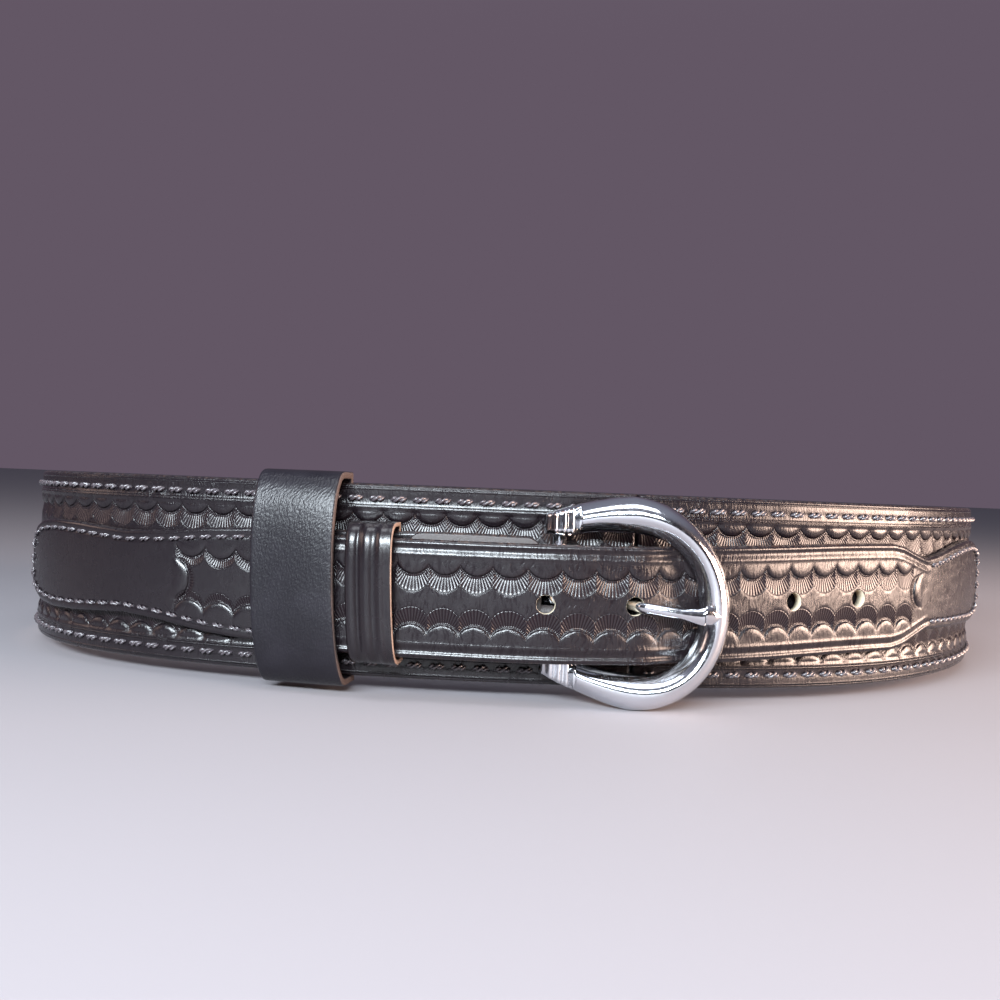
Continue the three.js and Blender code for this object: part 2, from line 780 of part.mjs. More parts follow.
/** Names a sub-part and gives it its own material. */
function part(name, geometry, finish) {
  const mesh = new THREE.Mesh(geometry, new THREE.MeshStandardMaterial(finish));
  mesh.name = name;
  return mesh;
}

/** Leans the belt back until it rests on the buckle and its rear edge, over its own centre. */
function standUp(belt) {
  const flat = new THREE.Box3().setFromObject(belt);
  const lowest = -flat.min.z;
  const depth = flat.max.y - place(apexAt, barLift + archRise + bandDepth / 2, 0).y;
  belt.rotation.x = -Math.atan2(lowest, depth);
  belt.updateMatrixWorld(true);
  const leaning = new THREE.Box3().setFromObject(belt, true);
  const middle = leaning.getCenter(new THREE.Vector3());
  belt.position.set(-middle.x, -middle.y, -leaning.min.z);
}

const belt = new THREE.Group();
belt.add(
  part("base_strap", baseStrap(), glossyLeather),
  part("buckle_strap", buckleStrap(), glossyLeather),
  part("tongue_strap", tongueStrap(), glossyLeather),
  part("wide_keeper", wideKeeper(), grainedLeather),
  part("ribbed_keeper", ribbedKeeper(), glossyLeather),
  part("buckle_frame", buckleFrame(), chrome),
  part("buckle_prong", buckleProng(), chrome),
);
standUp(belt);

const standing = new THREE.Group();
standing.add(belt);
export default standing;
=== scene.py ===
"""Dresses the western tooled belt: pressed leather, sewn straps, keepers and a chrome buckle.

Places on the belt are given as in its solids: "at" is the distance in millimetres along the base
strap's outer face from the buckle's heel bar, growing to the right, "lift" is the distance outward
from that face, and "height" is the distance above the base strap's lower edge.
"""

import logging
import math
from dataclasses import dataclass, field
from enum import Enum
from functools import cached_property

import bpy
import numpy as np
from mathutils import Matrix, Vector


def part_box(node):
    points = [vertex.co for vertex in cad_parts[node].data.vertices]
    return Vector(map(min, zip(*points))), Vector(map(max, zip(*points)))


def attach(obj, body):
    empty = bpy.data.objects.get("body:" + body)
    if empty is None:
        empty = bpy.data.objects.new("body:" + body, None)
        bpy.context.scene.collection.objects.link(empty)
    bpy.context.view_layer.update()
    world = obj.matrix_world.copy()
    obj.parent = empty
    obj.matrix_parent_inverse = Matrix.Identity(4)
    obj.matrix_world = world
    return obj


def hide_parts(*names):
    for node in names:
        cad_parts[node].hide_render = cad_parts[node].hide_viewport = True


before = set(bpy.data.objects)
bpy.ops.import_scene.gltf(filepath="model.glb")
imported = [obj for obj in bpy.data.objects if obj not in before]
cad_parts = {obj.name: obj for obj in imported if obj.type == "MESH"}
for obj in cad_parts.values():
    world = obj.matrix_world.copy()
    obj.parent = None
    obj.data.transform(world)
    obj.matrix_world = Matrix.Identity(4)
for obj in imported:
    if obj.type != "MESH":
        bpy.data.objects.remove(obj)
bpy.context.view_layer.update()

LOG = logging.getLogger("western_belt")
MM = 0.001
BODY = "root"
STRAP_MAP = "strap_mm"
RAW_EDGE = "raw_edge"

Table = tuple[tuple[float, float], ...]


class Slot(Enum):
    """The record's material slots."""

    TOOLED = "tooled_leather"
    GRAINED = "grained_leather"
    CHROME = "buckle_chrome"
    THREAD = "sewing_thread"


class Side(Enum):
    """The upper and the lower half of the belt."""

    UPPER = 1
    LOWER = -1


def smooth(value: np.ndarray, start: float, end: float) -> np.ndarray:
    """Eases from 0 at start to 1 at end."""
    share = np.clip((np.asarray(value, dtype=float) - start) / (end - start), 0, 1)
    return share * share * (3 - 2 * share)


def read_table(rows: Table, place: np.ndarray, eased: bool = False, blur: float = 0.0) -> np.ndarray:
    """Reads a table of two columns at many places.

    Args:
        rows: Pairs of place and value, in rising order of place.
        place: Where to read.
        eased: Eases from row to row instead of running straight.
        blur: Half width of the stretch that is averaged, which rounds the table's corners.

    Returns:
        One value for each place.
    """
    table = np.array(rows)
    place = np.asarray(place, dtype=float)
    if blur:
        spots = [read_table(rows, place + blur * share, eased) for share in np.linspace(-1, 1, 9)]
        return np.mean(spots, axis=0)
    if not eased:
        return np.interp(place, table[:, 0], table[:, 1])
    step = np.clip(np.searchsorted(table[:, 0], place, side="right"), 1, len(table) - 1)
    low, high = table[step - 1], table[step]
    share = smooth(place, low[..., 0], high[..., 0])
    return low[..., 1] + (high[..., 1] - low[..., 1]) * share


RING_PLAN: Table = (
    (0.043, -0.007), (0.317, 0.028), (0.517, 0.208), (0.609, 0.466),
    (0.525, 0.731), (0.285, 0.87), (0.022, 0.885), (-0.234, 0.795),
    (-0.427, 0.62), (-0.571, 0.376), (-0.485, 0.101), (-0.206, 0.007),
)
BUCKLE_TAB: Table = (
    (0, 0.3), (0.03, 0.5), (0.1, 0.68), (0.2, 0.79), (0.38, 0.855), (0.62, 0.84),
    (1, 0.76), (1.25, 0.82), (1.5, 0.93), (1.8, 1),
)
TONGUE_TAB: Table = (
    (0, 0.34), (0.03, 0.56), (0.08, 0.7), (0.12, 0.78), (0.22, 0.845), (0.33, 0.86), (0.5, 0.835),
    (0.7, 0.78), (0.82, 0.735), (0.92, 0.705), (1, 0.7), (1.08, 0.78), (1.16, 0.87), (1.23, 0.95),
    (1.32, 1),
)
TONGUE_TIP: Table = ((0, 0.35), (0.05, 0.6), (0.13, 0.78), (0.26, 0.93), (0.42, 1))
BUCKLE_STRAP_SAG: Table = ((-1, 0.475), (-0.7, 0.472), (-0.47, 0.452), (-0.16, 0.474), (0.03, 0.466))
TONGUE_SAG: Table = (
    (-0.46, 0.437), (-0.09, 0.438), (0.12, 0.443), (0.5, 0.487), (0.68, 0.491), (0.747, 0.506),
    (0.785, 0.521), (0.84, 0.539), (0.9, 0.545), (1, 0.543),
)
TONGUE_DRIFT: Table = (
    (-35, 1.7), (-14.4, 1.45), (-6.8, 2.1), (0.4, 2.35), (7.7, 2.7), (15, 3.0), (27.8, 1.9), (45, 0.8),
    (60, 0),
)


@dataclass(frozen=True)
class BeltSizes:
    """The belt's driving sizes in millimetres, the same as those of its solids."""

    waist: float = 762.0
    hole_pitch: float = 19.4
    first_hole_at: float = -2.9
    hole_diameter: float = 4.2
    hole_count: int = 5
    belt_width: float = 44.5
    base_thickness: float = 3.4
    seam_at: float = 18.2
    strap_width: float = 26.4
    strap_thickness: float = 2.4
    buckle_tab: float = 45.0
    buckle_reach: float = 150.2
    fold_length: float = 33.3
    fold_thickness: float = 1.8
    fold_width: float = 22.2
    fold_neck: float = 4.0
    fold_corner: float = 3.0
    tongue_tab: float = 45.0
    tongue_reach: float = 146.5
    tongue_landing: float = 72.0
    tip_inset: float = 3.0
    wide_keeper: float = 19.6
    wide_wall: float = 1.8
    wide_spare: float = 0.8
    wide_crown: float = 3.0
    ribbed_keeper: float = 10.6
    ribbed_wall: float = 1.2
    rib_height: float = 0.9
    ribbed_crown: float = 5.0
    ribbed_spare: float = 0.6
    keeper_gap: float = 2.6
    fold_gap: float = 1.5
    keeper_skew: float = 0.045
    keeper_bow: float = 0.9
    bar_diameter: float = 3.2
    frame_height: float = 47.8
    frame_reach: float = 38.5
    frame_drop: float = 2.65
    rim_width: float = 7.05
    band_depth: float = 4.6
    apex_at: float = 16.0
    foot_start: float = -2.7
    foot_end: float = 3.5
    foot_inner: float = 13.4
    foot_depth: float = 5.2
    buckle_height: float = 21.25
    prong_diameter: float = 2.1
    prong_loop: float = 4.0
    prong_loop_wall: float = 1.5
    prong_tip_width: float = 4.1
    prong_tip_depth: float = 1.7
    prong_tip_inset: float = 3.6
    prong_drop: float = 0.5
    clearance: float = 0.3

    @property
    def outer_girth(self) -> float:
        """Length of the base strap's outer face once round."""
        return self.waist + self.hole_pitch + 2 * math.pi * self.base_thickness

    @property
    def strap_half(self) -> float:
        """Half the width of the two narrower straps."""
        return self.strap_width / 2

    @property
    def bar_lift(self) -> float:
        """Lift of the heel bar's centre."""
        return 2 * self.clearance + self.fold_thickness + self.bar_diameter / 2

    @property
    def prong_hole_at(self) -> float:
        """Place of the hole that the prong is in."""
        return self.first_hole_at + self.hole_pitch

    @property
    def rim_at(self) -> float:
        """Place where the tongue is down under the rim."""
        return 0.88 * (self.frame_reach - self.rim_width)

    @property
    def ribbed_end(self) -> float:
        """Right edge of the ribbed keeper."""
        return -self.fold_length - self.fold_gap

    @property
    def ribbed_start(self) -> float:
        """Left edge of the ribbed keeper."""
        return self.ribbed_end - self.ribbed_keeper

    @property
    def wide_end(self) -> float:
        """Right edge of the wide keeper."""
        return self.ribbed_start - self.keeper_gap

    @property
    def wide_start(self) -> float:
        """Left edge of the wide keeper."""
        return self.wide_end - self.wide_keeper

    @property
    def tip_at(self) -> float:
        """Place of the tongue's hidden tip."""
        return self.wide_start + self.tip_inset


class Layout:
    """Where each layer of the belt lies: its lift, its centre line and its half width."""

    def __init__(self, sizes: BeltSizes) -> None:
        """Works the layers' lifts out from the sizes."""
        self.sizes = s = sizes
        gap = s.clearance
        on_keeper = 2 * gap + s.ribbed_wall
        on_strap = on_keeper + s.strap_thickness + gap
        over_bar = s.bar_lift + s.bar_diameter / 2 + gap
        tongue_over_bar = over_bar + s.fold_thickness + gap
        between = s.ribbed_start - s.keeper_gap / 2
        self.fold_radius = s.bar_diameter / 2 + gap + s.fold_thickness / 2
        self.foot_start = s.foot_start
        self.tongue_over_bar = tongue_over_bar
        self.buckle_lifts: Table = (
            (s.wide_start, gap), (between, on_keeper), (-s.fold_length, on_keeper),
            (-s.fold_length / 2, gap),
        )
        self.fold_lifts: Table = ((-s.fold_length, on_strap), (self.foot_start, over_bar))
        self.tongue_lifts: Table = (
            (s.wide_start, gap + s.strap_thickness + gap),
            (between, on_keeper + s.strap_thickness + gap),
            (-s.fold_length, on_strap + s.fold_thickness + gap),
            (self.foot_start, tongue_over_bar), (s.prong_hole_at, tongue_over_bar * 0.87),
            (s.rim_at, tongue_over_bar * 0.55), (s.tongue_landing, gap),
        )

    def buckle_centre(self, at: np.ndarray) -> np.ndarray:
        """Height of the buckle strap's centre line."""
        return self.sizes.belt_width * read_table(
            BUCKLE_STRAP_SAG, np.asarray(at) / self.sizes.buckle_reach, blur=0.05)

    def tongue_centre(self, at: np.ndarray) -> np.ndarray:
        """Height of the tongue's centre line."""
        return self.sizes.belt_width * read_table(
            TONGUE_SAG, np.asarray(at) / self.sizes.tongue_reach, blur=0.05)

    def buckle_thickness(self, at: np.ndarray) -> np.ndarray:
        """Thickness of the buckle strap, which is skived before its fold."""
        s = self.sizes
        return s.strap_thickness + (s.fold_thickness - s.strap_thickness) * smooth(
            at, -s.fold_length, -s.fold_length / 2)

    def buckle_half(self, at: np.ndarray) -> np.ndarray:
        """Half the buckle strap's width: its tab, its full width and its neck."""
        s = self.sizes
        from_tip = (np.asarray(at) + s.buckle_reach) / s.buckle_tab
        tab = s.strap_half * read_table(BUCKLE_TAB, from_tip, blur=0.015)
        neck = smooth(at, self.foot_start - s.fold_neck, self.foot_start - s.clearance)
        return tab + (s.fold_width / 2 - tab) * neck

    def fold_half(self, at: np.ndarray) -> np.ndarray:
        """Half the folded end's width, with its rounded corners."""
        s = self.sizes
        from_end = np.clip(np.asarray(at) + s.fold_length, 0, s.fold_corner)
        drop = s.fold_corner - np.sqrt(s.fold_corner**2 - (s.fold_corner - from_end) ** 2)
        return self.buckle_half(at) - drop

    def tongue_half(self, at: np.ndarray) -> np.ndarray:
        """Half the tongue's width, from its hidden tip to its tab."""
        s = self.sizes
        tip = read_table(TONGUE_TIP, (np.asarray(at) - s.tip_at) / s.strap_width, blur=0.03)
        tab = read_table(TONGUE_TAB, (s.tongue_reach - np.asarray(at)) / s.tongue_tab, blur=0.015)
        return s.strap_half * np.minimum(tip, tab)

    def tongue_lift(self, at: np.ndarray) -> np.ndarray:
        """Lift of the tongue's inner face."""
        return read_table(self.tongue_lifts, at, eased=True, blur=1.5)

    def buckle_lift(self, at: np.ndarray) -> np.ndarray:
        """Lift of the buckle strap's inner face."""
        return read_table(self.buckle_lifts, at, eased=True, blur=1.0)

    def fold_lift(self, at: np.ndarray) -> np.ndarray:
        """Lift of the folded end's inner face."""
        return read_table(self.fold_lifts, at, eased=True)


class Ring:
    """The ring's plan and the belt's place in the frame of the solids."""

    def __init__(self, sizes: BeltSizes) -> None:
        """Builds a lookup along the outline and fits it to the base strap's box."""
        self.sizes = sizes
        points, slopes = self._spline(240)
        steps = np.hypot(*np.diff(np.vstack([points, points[:1]]), axis=0).T)
        scale = sizes.outer_girth / steps.sum()
        self._marks = np.concatenate([[0.0], np.cumsum(steps)]) * scale
        self._points = np.vstack([points, points[:1]]) * scale
        self._slopes = np.vstack([slopes, slopes[:1]])
        low, high = (np.array(corner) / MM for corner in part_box("base_strap"))
        rise = high[2] - low[2] - sizes.belt_width
        self.lean = -rise / np.ptp(self._points[:, 1])
        self.shift = np.zeros(3)
        floor = self._lean(np.column_stack([self._points, np.zeros(len(self._points))]))
        brim = self._lean(np.column_stack(
            [self._points, np.full(len(self._points), sizes.belt_width)]))
        both = np.vstack([floor, brim])
        self.shift = (low + high) / 2 - (both.min(axis=0) + both.max(axis=0)) / 2

    @staticmethod
    def _spline(steps: int) -> tuple[np.ndarray, np.ndarray]:
        """Evaluates the closed spline through the plan's control points.

        Args:
            steps: Points on each of the spline's pieces.

        Returns:
            Points and unit slopes, in no particular scale.
        """
        rows = np.array(RING_PLAN)
        share = np.linspace(0, 1, steps, endpoint=False)[:, None]
        blend = np.hstack([(1 - share) ** 3, 3 * share**3 - 6 * share**2 + 4,
                           -3 * share**3 + 3 * share**2 + 3 * share + 1, share**3]) / 6
        turn = np.hstack([-((1 - share) ** 2) / 2, (9 * share**2 - 12 * share) / 6,
                          (-9 * share**2 + 6 * share + 3) / 6, share**2 / 2])
        points, slopes = [], []
        for first in range(len(rows)):
            controls = rows[[(first + step - 1) % len(rows) for step in range(4)]]
            points.append(blend @ controls)
            slopes.append(turn @ controls)
        slope = np.vstack(slopes)
        return np.vstack(points), slope / np.linalg.norm(slope, axis=1)[:, None]

    def _lean(self, points: np.ndarray) -> np.ndarray:
        """Leans points back about X by the ring's resting angle."""
        cos, sin = math.cos(self.lean), math.sin(self.lean)
        turned = points.copy()
        turned[:, 1] = points[:, 1] * cos - points[:, 2] * sin
        turned[:, 2] = points[:, 1] * sin + points[:, 2] * cos
        return turned

    def to_frame(self, points: np.ndarray) -> np.ndarray:
        """Turns points of the belt's own frame into metres in the solids' frame."""
        return (self._lean(np.asarray(points, dtype=float)) + self.shift) * MM

    def _spot(self, at: np.ndarray) -> tuple[np.ndarray, ...]:
        """Point and unit slope of the outline at places along it."""
        spot = np.mod(at, self.sizes.outer_girth)
        return tuple(np.interp(spot, self._marks, values[:, axis])
                     for values in (self._points, self._slopes) for axis in (0, 1))

    def lay(self, at: np.ndarray, lift: np.ndarray, height: np.ndarray) -> np.ndarray:
        """Places points on the belt.

        Args:
            at: Distance along the outer face from the heel bar, growing to the right.
            lift: Distance outward from the outer face.
            height: Distance above the strap's lower edge.

        Returns:
            One row of coordinates in metres for each point.
        """
        at, lift, height = np.broadcast_arrays(np.asarray(at, float), lift, height)
        x, y, along_x, along_y = self._spot(at.ravel())
        lift = lift.ravel()
        points = np.column_stack([x + along_y * lift, y - along_x * lift, height.ravel()])
        return self.to_frame(points)

    def _buckle_axes(self) -> tuple[np.ndarray, np.ndarray, np.ndarray]:
        """The heel bar's middle in plan, and the frame's directions along and outward."""
        x, y, slope_x, slope_y = self._spot(np.array([0.0]))
        lift = self.sizes.bar_lift
        origin = np.array([x[0] + slope_y[0] * lift, y[0] - slope_x[0] * lift])
        _, _, run_x, run_y = self._spot(np.array([self.sizes.frame_reach / 2]))
        return origin, np.array([run_x[0], run_y[0]]), np.array([run_y[0], -run_x[0]])

    def seen_from_buckle(self, at: float, lift: float) -> tuple[float, float]:
        """Distance from the heel bar and rise over it of a place on the belt."""
        x, y, slope_x, slope_y = self._spot(np.array([at]))
        origin, ahead, outward = self._buckle_axes()
        away = np.array([x[0] + slope_y[0] * lift, y[0] - slope_x[0] * lift]) - origin
        return float(away @ ahead), float(away @ outward)

    def lay_buckle(self, along: np.ndarray, rise: np.ndarray, height: np.ndarray) -> np.ndarray:
        """Places points of the buckle.

        Args:
            along: Distance from the heel bar, growing to the rim.
            rise: Distance outward from the heel bar.
            height: Distance above the buckle's middle.

        Returns:
            One row of coordinates in metres for each point.
        """
        along, rise, height = (part.ravel() for part in np.broadcast_arrays(
            np.asarray(along, float), rise, height))
        origin, ahead, outward = self._buckle_axes()
        points = np.column_stack([
            origin[0] + along * ahead[0] + rise * outward[0],
            origin[1] + along * ahead[1] + rise * outward[1],
            self.sizes.buckle_height + height - self.sizes.frame_drop * along / self.sizes.frame_reach,
        ])
        return self.to_frame(points)


SIZES = BeltSizes()
LAYOUT = Layout(SIZES)
RING = Ring(SIZES)


@dataclass
class Part:
    """A mesh in the making: its points, faces, strap map and raw-edge mask."""

    points: np.ndarray
    faces: list[np.ndarray]
    uv: np.ndarray | None = None
    raw: np.ndarray | None = None
    finish: np.ndarray | None = None

    def volume(self) -> float:
        """Volume inside the faces, negative where they point inward."""
        total = 0.0
        middle = self.points.mean(axis=0)
        for rows in self.faces:
            first = self.points[rows[:, 0]] - middle
            for step in range(1, rows.shape[1] - 1):
                second = self.points[rows[:, step]] - middle
                third = self.points[rows[:, step + 1]] - middle
                total += np.einsum("ij,ij->i", first, np.cross(second, third)).sum() / 6
        return total

    def outward(self) -> "Part":
        """Turns the faces so that they point out of the part."""
        if self.volume() < 0:
            self.faces = [rows[:, ::-1] for rows in self.faces]
        return self

    def to_object(self, name: str, materials: list[bpy.types.Material]) -> bpy.types.Object:
        """Makes the Blender object.

        Args:
            name: The piece's name.
            materials: Its materials, which the finish index of each face picks from.

        Returns:
            The new object, linked to the scene.
        """
        self.outward()
        mesh = bpy.data.meshes.new(name)
        corners = np.concatenate([rows.ravel() for rows in self.faces]).astype(np.int32)
        counts = np.concatenate([np.full(len(rows), rows.shape[1]) for rows in self.faces])
        starts = np.concatenate([[0], np.cumsum(counts)[:-1]]).astype(np.int32)
        mesh.vertices.add(len(self.points))
        mesh.vertices.foreach_set("co", self.points.astype(np.float32).ravel())
        mesh.loops.add(len(corners))
        mesh.loops.foreach_set("vertex_index", corners)
        mesh.polygons.add(len(starts))
        mesh.polygons.foreach_set("loop_start", starts)
        if self.finish is not None:
            mesh.polygons.foreach_set("material_index", self.finish.astype(np.int32))
        mesh.update(calc_edges=True)
        mesh.validate()
        mesh.shade_smooth()
        if self.uv is not None:
            layer = mesh.uv_layers.new(name=STRAP_MAP)
            layer.uv.foreach_set("vector", self.uv[corners].astype(np.float32).ravel())
        if self.raw is not None:
            mask = mesh.attributes.new(RAW_EDGE, "FLOAT", "POINT")
            mask.data.foreach_set("value", self.raw.astype(np.float32))
        for material in materials:
            mesh.materials.append(material)
        piece = bpy.data.objects.new(name, mesh)
        bpy.context.scene.collection.objects.link(piece)
        return piece


def join_parts(parts: list[Part]) -> Part:
    """Puts several parts into one mesh."""
    offsets = np.cumsum([0] + [len(part.points) for part in parts[:-1]])
    faces = [rows + offset for part, offset in zip(parts, offsets) for rows in part.outward().faces]
    uv = None if parts[0].uv is None else np.vstack([part.uv for part in parts])
    raw = None if parts[0].raw is None else np.concatenate([part.raw for part in parts])
    return Part(np.vstack([part.points for part in parts]), faces, uv, raw)


def tube_faces(columns: int, loop: int, closed: bool = False) -> list[np.ndarray]:
    """Faces of a tube of equal loops.

    Args:
        columns: Count of the loops.
        loop: Points in each loop.
        closed: Joins the last loop to the first, instead of capping both.

    Returns:
        The quads, and the two caps where the tube is open.
    """
    column, place = np.meshgrid(
        np.arange(columns if closed else columns - 1), np.arange(loop), indexing="ij")
    after, beside = (column + 1) % columns, (place + 1) % loop
    quads = np.stack([column * loop + place, after * loop + place,
                      after * loop + beside, column * loop + beside], axis=-1).reshape(-1, 4)
    if closed:
        return [quads]
    caps = np.arange(loop)
    return [quads, caps[None, :], (caps[::-1] + (columns - 1) * loop)[None, :]]


def cut_with(piece: bpy.types.Object, tools: list[bpy.types.Object], mode: str) -> None:
    """Cuts tools out of a piece or joins them to it, and removes the tools.

    Args:
        piece: The closed mesh that is changed.
        tools: Closed meshes.
        mode: DIFFERENCE or UNION.
    """
    for tool in tools:
        modifier = piece.modifiers.new(tool.name, "BOOLEAN")
        modifier.operation = mode
        modifier.solver = "MANIFOLD"
        modifier.object = tool
    bpy.context.view_layer.update()
    graph = bpy.context.evaluated_depsgraph_get()
    mesh = bpy.data.meshes.new_from_object(piece.evaluated_get(graph))
    piece.modifiers.clear()
    piece.data = mesh
    for tool in tools:
        bpy.data.objects.remove(tool)


@dataclass(frozen=True)
class FanStamp:
    """The scalloped shell stamp and the row that it is struck along."""

    first_cusp: float
    pitch: float
    cusp_inset: float
    sag: float = 2.25
    reach: float = 5.9
    depth: float = 0.9
    rim_depth: float = 0.1
    pillow: float = 0.16
    roll: float = 0.3
    lines: int = 58

    @property
    def arc_radius(self) -> float:
        """Radius of the deep arc through two neighbouring cusps."""
        return ((self.pitch / 2) ** 2 + self.sag**2) / (2 * self.sag)

    @property
    def arc_drop(self) -> float:
        """How far the deep arc's centre lies outside the line of cusps."""
        return self.arc_radius - self.sag

    @property
    def shell_radius(self) -> float:
        """Radius of the shell's outer arc."""
        return ((self.pitch / 2) ** 2 + self.reach**2) / (2 * self.reach)

    @property
    def shell_drop(self) -> float:
        """How far the shell's centre lies inside the line of cusps."""
        return self.reach - self.shell_radius

    def relief(self, sideways: np.ndarray, inward: np.ndarray) -> np.ndarray:
        """Height that one stamp leaves, by the place from the middle of its line of cusps.

        Args:
            sideways: Distance along the line of cusps from the stamp's middle.
            inward: Distance from the line of cusps towards the strap's middle.

        Returns:
            Heights, below 0 where the leather is pressed in.
        """
        from_arc = np.hypot(sideways, inward + self.arc_drop) - self.arc_radius
        from_rim = self.shell_radius - np.hypot(sideways, inward - self.shell_drop)
        share = np.clip(from_arc / np.maximum(from_arc + from_rim, 1e-6), 0, 1)
        floor = -self.depth + (self.depth - self.rim_depth) * share**0.85
        ridge = 1 - 0.4 * np.exp(-(((self.pitch / 2 - np.abs(sideways)) / 0.3) ** 2))
        pressed = smooth(from_arc, -0.1, 0.16) * smooth(from_rim, -0.08, 0.16)
        below = smooth(inward, -1.6, 0.4)
        roll = (self.pillow * (1 - smooth(from_arc, -1.7, -0.5))
                - self.roll * smooth(from_arc, -1.25, 0.0) ** 2) * below
        outside = np.where(from_arc < 0, roll, 0.0)
        return outside * (1 - pressed) + floor * ridge * pressed

    def row(self, at: np.ndarray, across: np.ndarray, half: float) -> np.ndarray:
        """Height that the two mirrored rows leave on a strap.

        Args:
            at: Distance along the strap.
            across: Distance from its centre line.
            half: Half the strap's full width.

        Returns:
            Heights, below 0 where the leather is pressed in.
        """
        sideways = (np.mod((at - self.first_cusp) / self.pitch, 1) - 0.5) * self.pitch
        return self.relief(sideways, half - self.cusp_inset - np.abs(across))


@dataclass(frozen=True)
class EndStamp:
    """One shell struck across a strap where its plain tab starts."""

    at: float
    ahead: float
    centre: float
    stamp: FanStamp

    def relief(self, at: np.ndarray, across: np.ndarray) -> np.ndarray:
        """Height that the stamp leaves on the strap."""
        return self.stamp.relief(across - self.centre, (at - self.at) * self.ahead)


BASE_STAMP = FanStamp(first_cusp=-13.3, pitch=7.25, cusp_inset=6.6)
TONGUE_STAMP = FanStamp(first_cusp=88.4, pitch=6.95, cusp_inset=5.5, reach=6.0, sag=2.2,
                         pillow=0.04, roll=0.16)
BUCKLE_STAMP = FanStamp(first_cusp=-74.7, pitch=7.8, cusp_inset=5.6, sag=2.6, reach=4.7,
                         pillow=0.06, roll=0.2)
TONGUE_END = EndStamp(98.4, -1.0, 1.0, FanStamp(0.0, 8.4, 0.0, sag=2.4, reach=4.6))
BUCKLE_END = EndStamp(-89.8, 1.0, -0.4, FanStamp(0.0, 9.8, 0.0, sag=3.1, reach=4.6))

BASE_BORDER: Table = (
    (0, 0), (2.4, 0.0), (2.8, -0.05), (3.3, -0.09), (3.8, -0.05), (4.2, 0.0), (4.35, 0.0),
    (4.75, 0.1), (5.15, 0.22), (5.6, 0.34), (5.85, 0.2), (6.05, -0.05), (6.3, 0.0),
)
TONGUE_BORDER: Table = (
    (0, -0.16), (0.4, -0.02), (0.95, 0.1), (1.2, 0.0), (1.45, -0.22), (2.0, -0.28),
    (2.25, -0.22), (2.75, -0.04), (3.3, 0.13), (3.55, 0.08), (3.95, 0.0),
)
SEWN_BORDER: Table = (
    (0, 0), (0.6, 0.02), (1.6, 0.0), (1.9, -0.08), (2.2, -0.14), (2.5, -0.08), (2.9, 0.0),
)


@dataclass
class Run:
    """The sections of a strap, one for each column of its mesh."""

    at: np.ndarray
    lift: np.ndarray
    thickness: np.ndarray
    centre: np.ndarray
    half: np.ndarray
    slant: np.ndarray
    outer_round: float = 0.8
    inner_round: float = 0.5
    marks: np.ndarray | None = None

    def skin(self, across: np.ndarray, full_half: float, relief, inner_rows: int = 4) -> Part:
        """Builds the strap's closed skin.

        Args:
            across: Rows of the outer face, from the centre line at the full width.
            full_half: Half the full width, edges included.
            relief: Function of place, distance from the centre line and half width that gives
                the height left on the outer face.
            inner_rows: Points across the inner face.

        Returns:
            The part, with places along and across in its map, and finish 1 on its inner face.
        """
        soft = np.minimum(self.outer_round, 0.45 * self.thickness)[:, None]
        hard = np.minimum(self.inner_round, 0.45 * self.thickness)[:, None]
        half, thickness = self.half[:, None], self.thickness[:, None]
        turn = np.radians([22.5, 45, 67.5, 90])[None, :]
        rows = across[None, :] * (half - soft) / (full_half - self.outer_round)
        marks = self.at if self.marks is None else self.marks
        face_rise = thickness / 2 + relief(marks[:, None] + 0 * rows, rows, half + 0 * rows)
        up = half - soft + soft * np.sin(turn)
        up_rise = thickness / 2 - soft + soft * np.cos(turn)
        under = half - hard + hard * np.sin(turn[:, ::-1])
        under_rise = -thickness / 2 + hard - hard * np.cos(turn[:, ::-1])
        inner = np.linspace(1, -1, inner_rows)[None, :] * (half - hard)
        inner_rise = -thickness / 2 + 0 * inner
        height = np.hstack([rows, up, under, inner, -under[:, ::-1], -up[:, ::-1]])
        rise = np.hstack([face_rise, up_rise, under_rise, inner_rise,
                          under_rise[:, ::-1], up_rise[:, ::-1]])
        slant = self.slant[:, None]
        points = RING.lay(self.at[:, None] - rise * np.sin(slant),
                          self.lift[:, None] + rise * np.cos(slant),
                          self.centre[:, None] + height)
        columns, loop = height.shape
        faces = tube_faces(columns, loop)
        first_inner = rows.shape[1] + 2 * turn.shape[1] - 1
        place = np.arange(loop)
        inside = (place >= first_inner) & (place < first_inner + inner_rows + 1)
        finish = np.concatenate([np.tile(inside, columns - 1), [False, False]])
        uv = np.column_stack([np.repeat(marks, loop), height.ravel()])
        return Part(points, faces, uv, np.zeros(len(points)), finish)


def graded(bands: Table, half: float) -> np.ndarray:
    """Rows across a strap, spaced by their distance from its edge.

    Args:
        bands: Distance from the edge where a spacing starts, and that spacing.
        half: Half the strap's width.

    Returns:
        Distances from the centre line, from the lower edge to the upper.
    """
    upper, place = [], bands[0][0]
    starts = [start for start, _ in bands] + [half]
    for (_, step), end in zip(bands, starts[1:]):
        count = max(1, round((end - place) / step))
        upper.extend(np.linspace(place, end, count, endpoint=False))
        place = end
    rows = half - np.array(upper)
    return np.concatenate([-rows, [0.0], rows[::-1]])


def stretch(*spans: tuple[float, float, float]) -> np.ndarray:
    """Places from span to span, each with its start, end and spacing."""
    places = [np.linspace(start, end, max(2, round((end - start) / step)), endpoint=False)
              for start, end, step in spans]
    return np.concatenate([*places, [spans[-1][1]]])


def blunt(at: np.ndarray, start: float, end: float, rounding: float) -> np.ndarray:
    """Share of a strap's thickness near its ends, which rounds the ends over."""
    near = np.clip(np.minimum(at - start, end - at) / rounding, 0.01, 1)
    return np.sqrt(1 - (1 - near) ** 2)


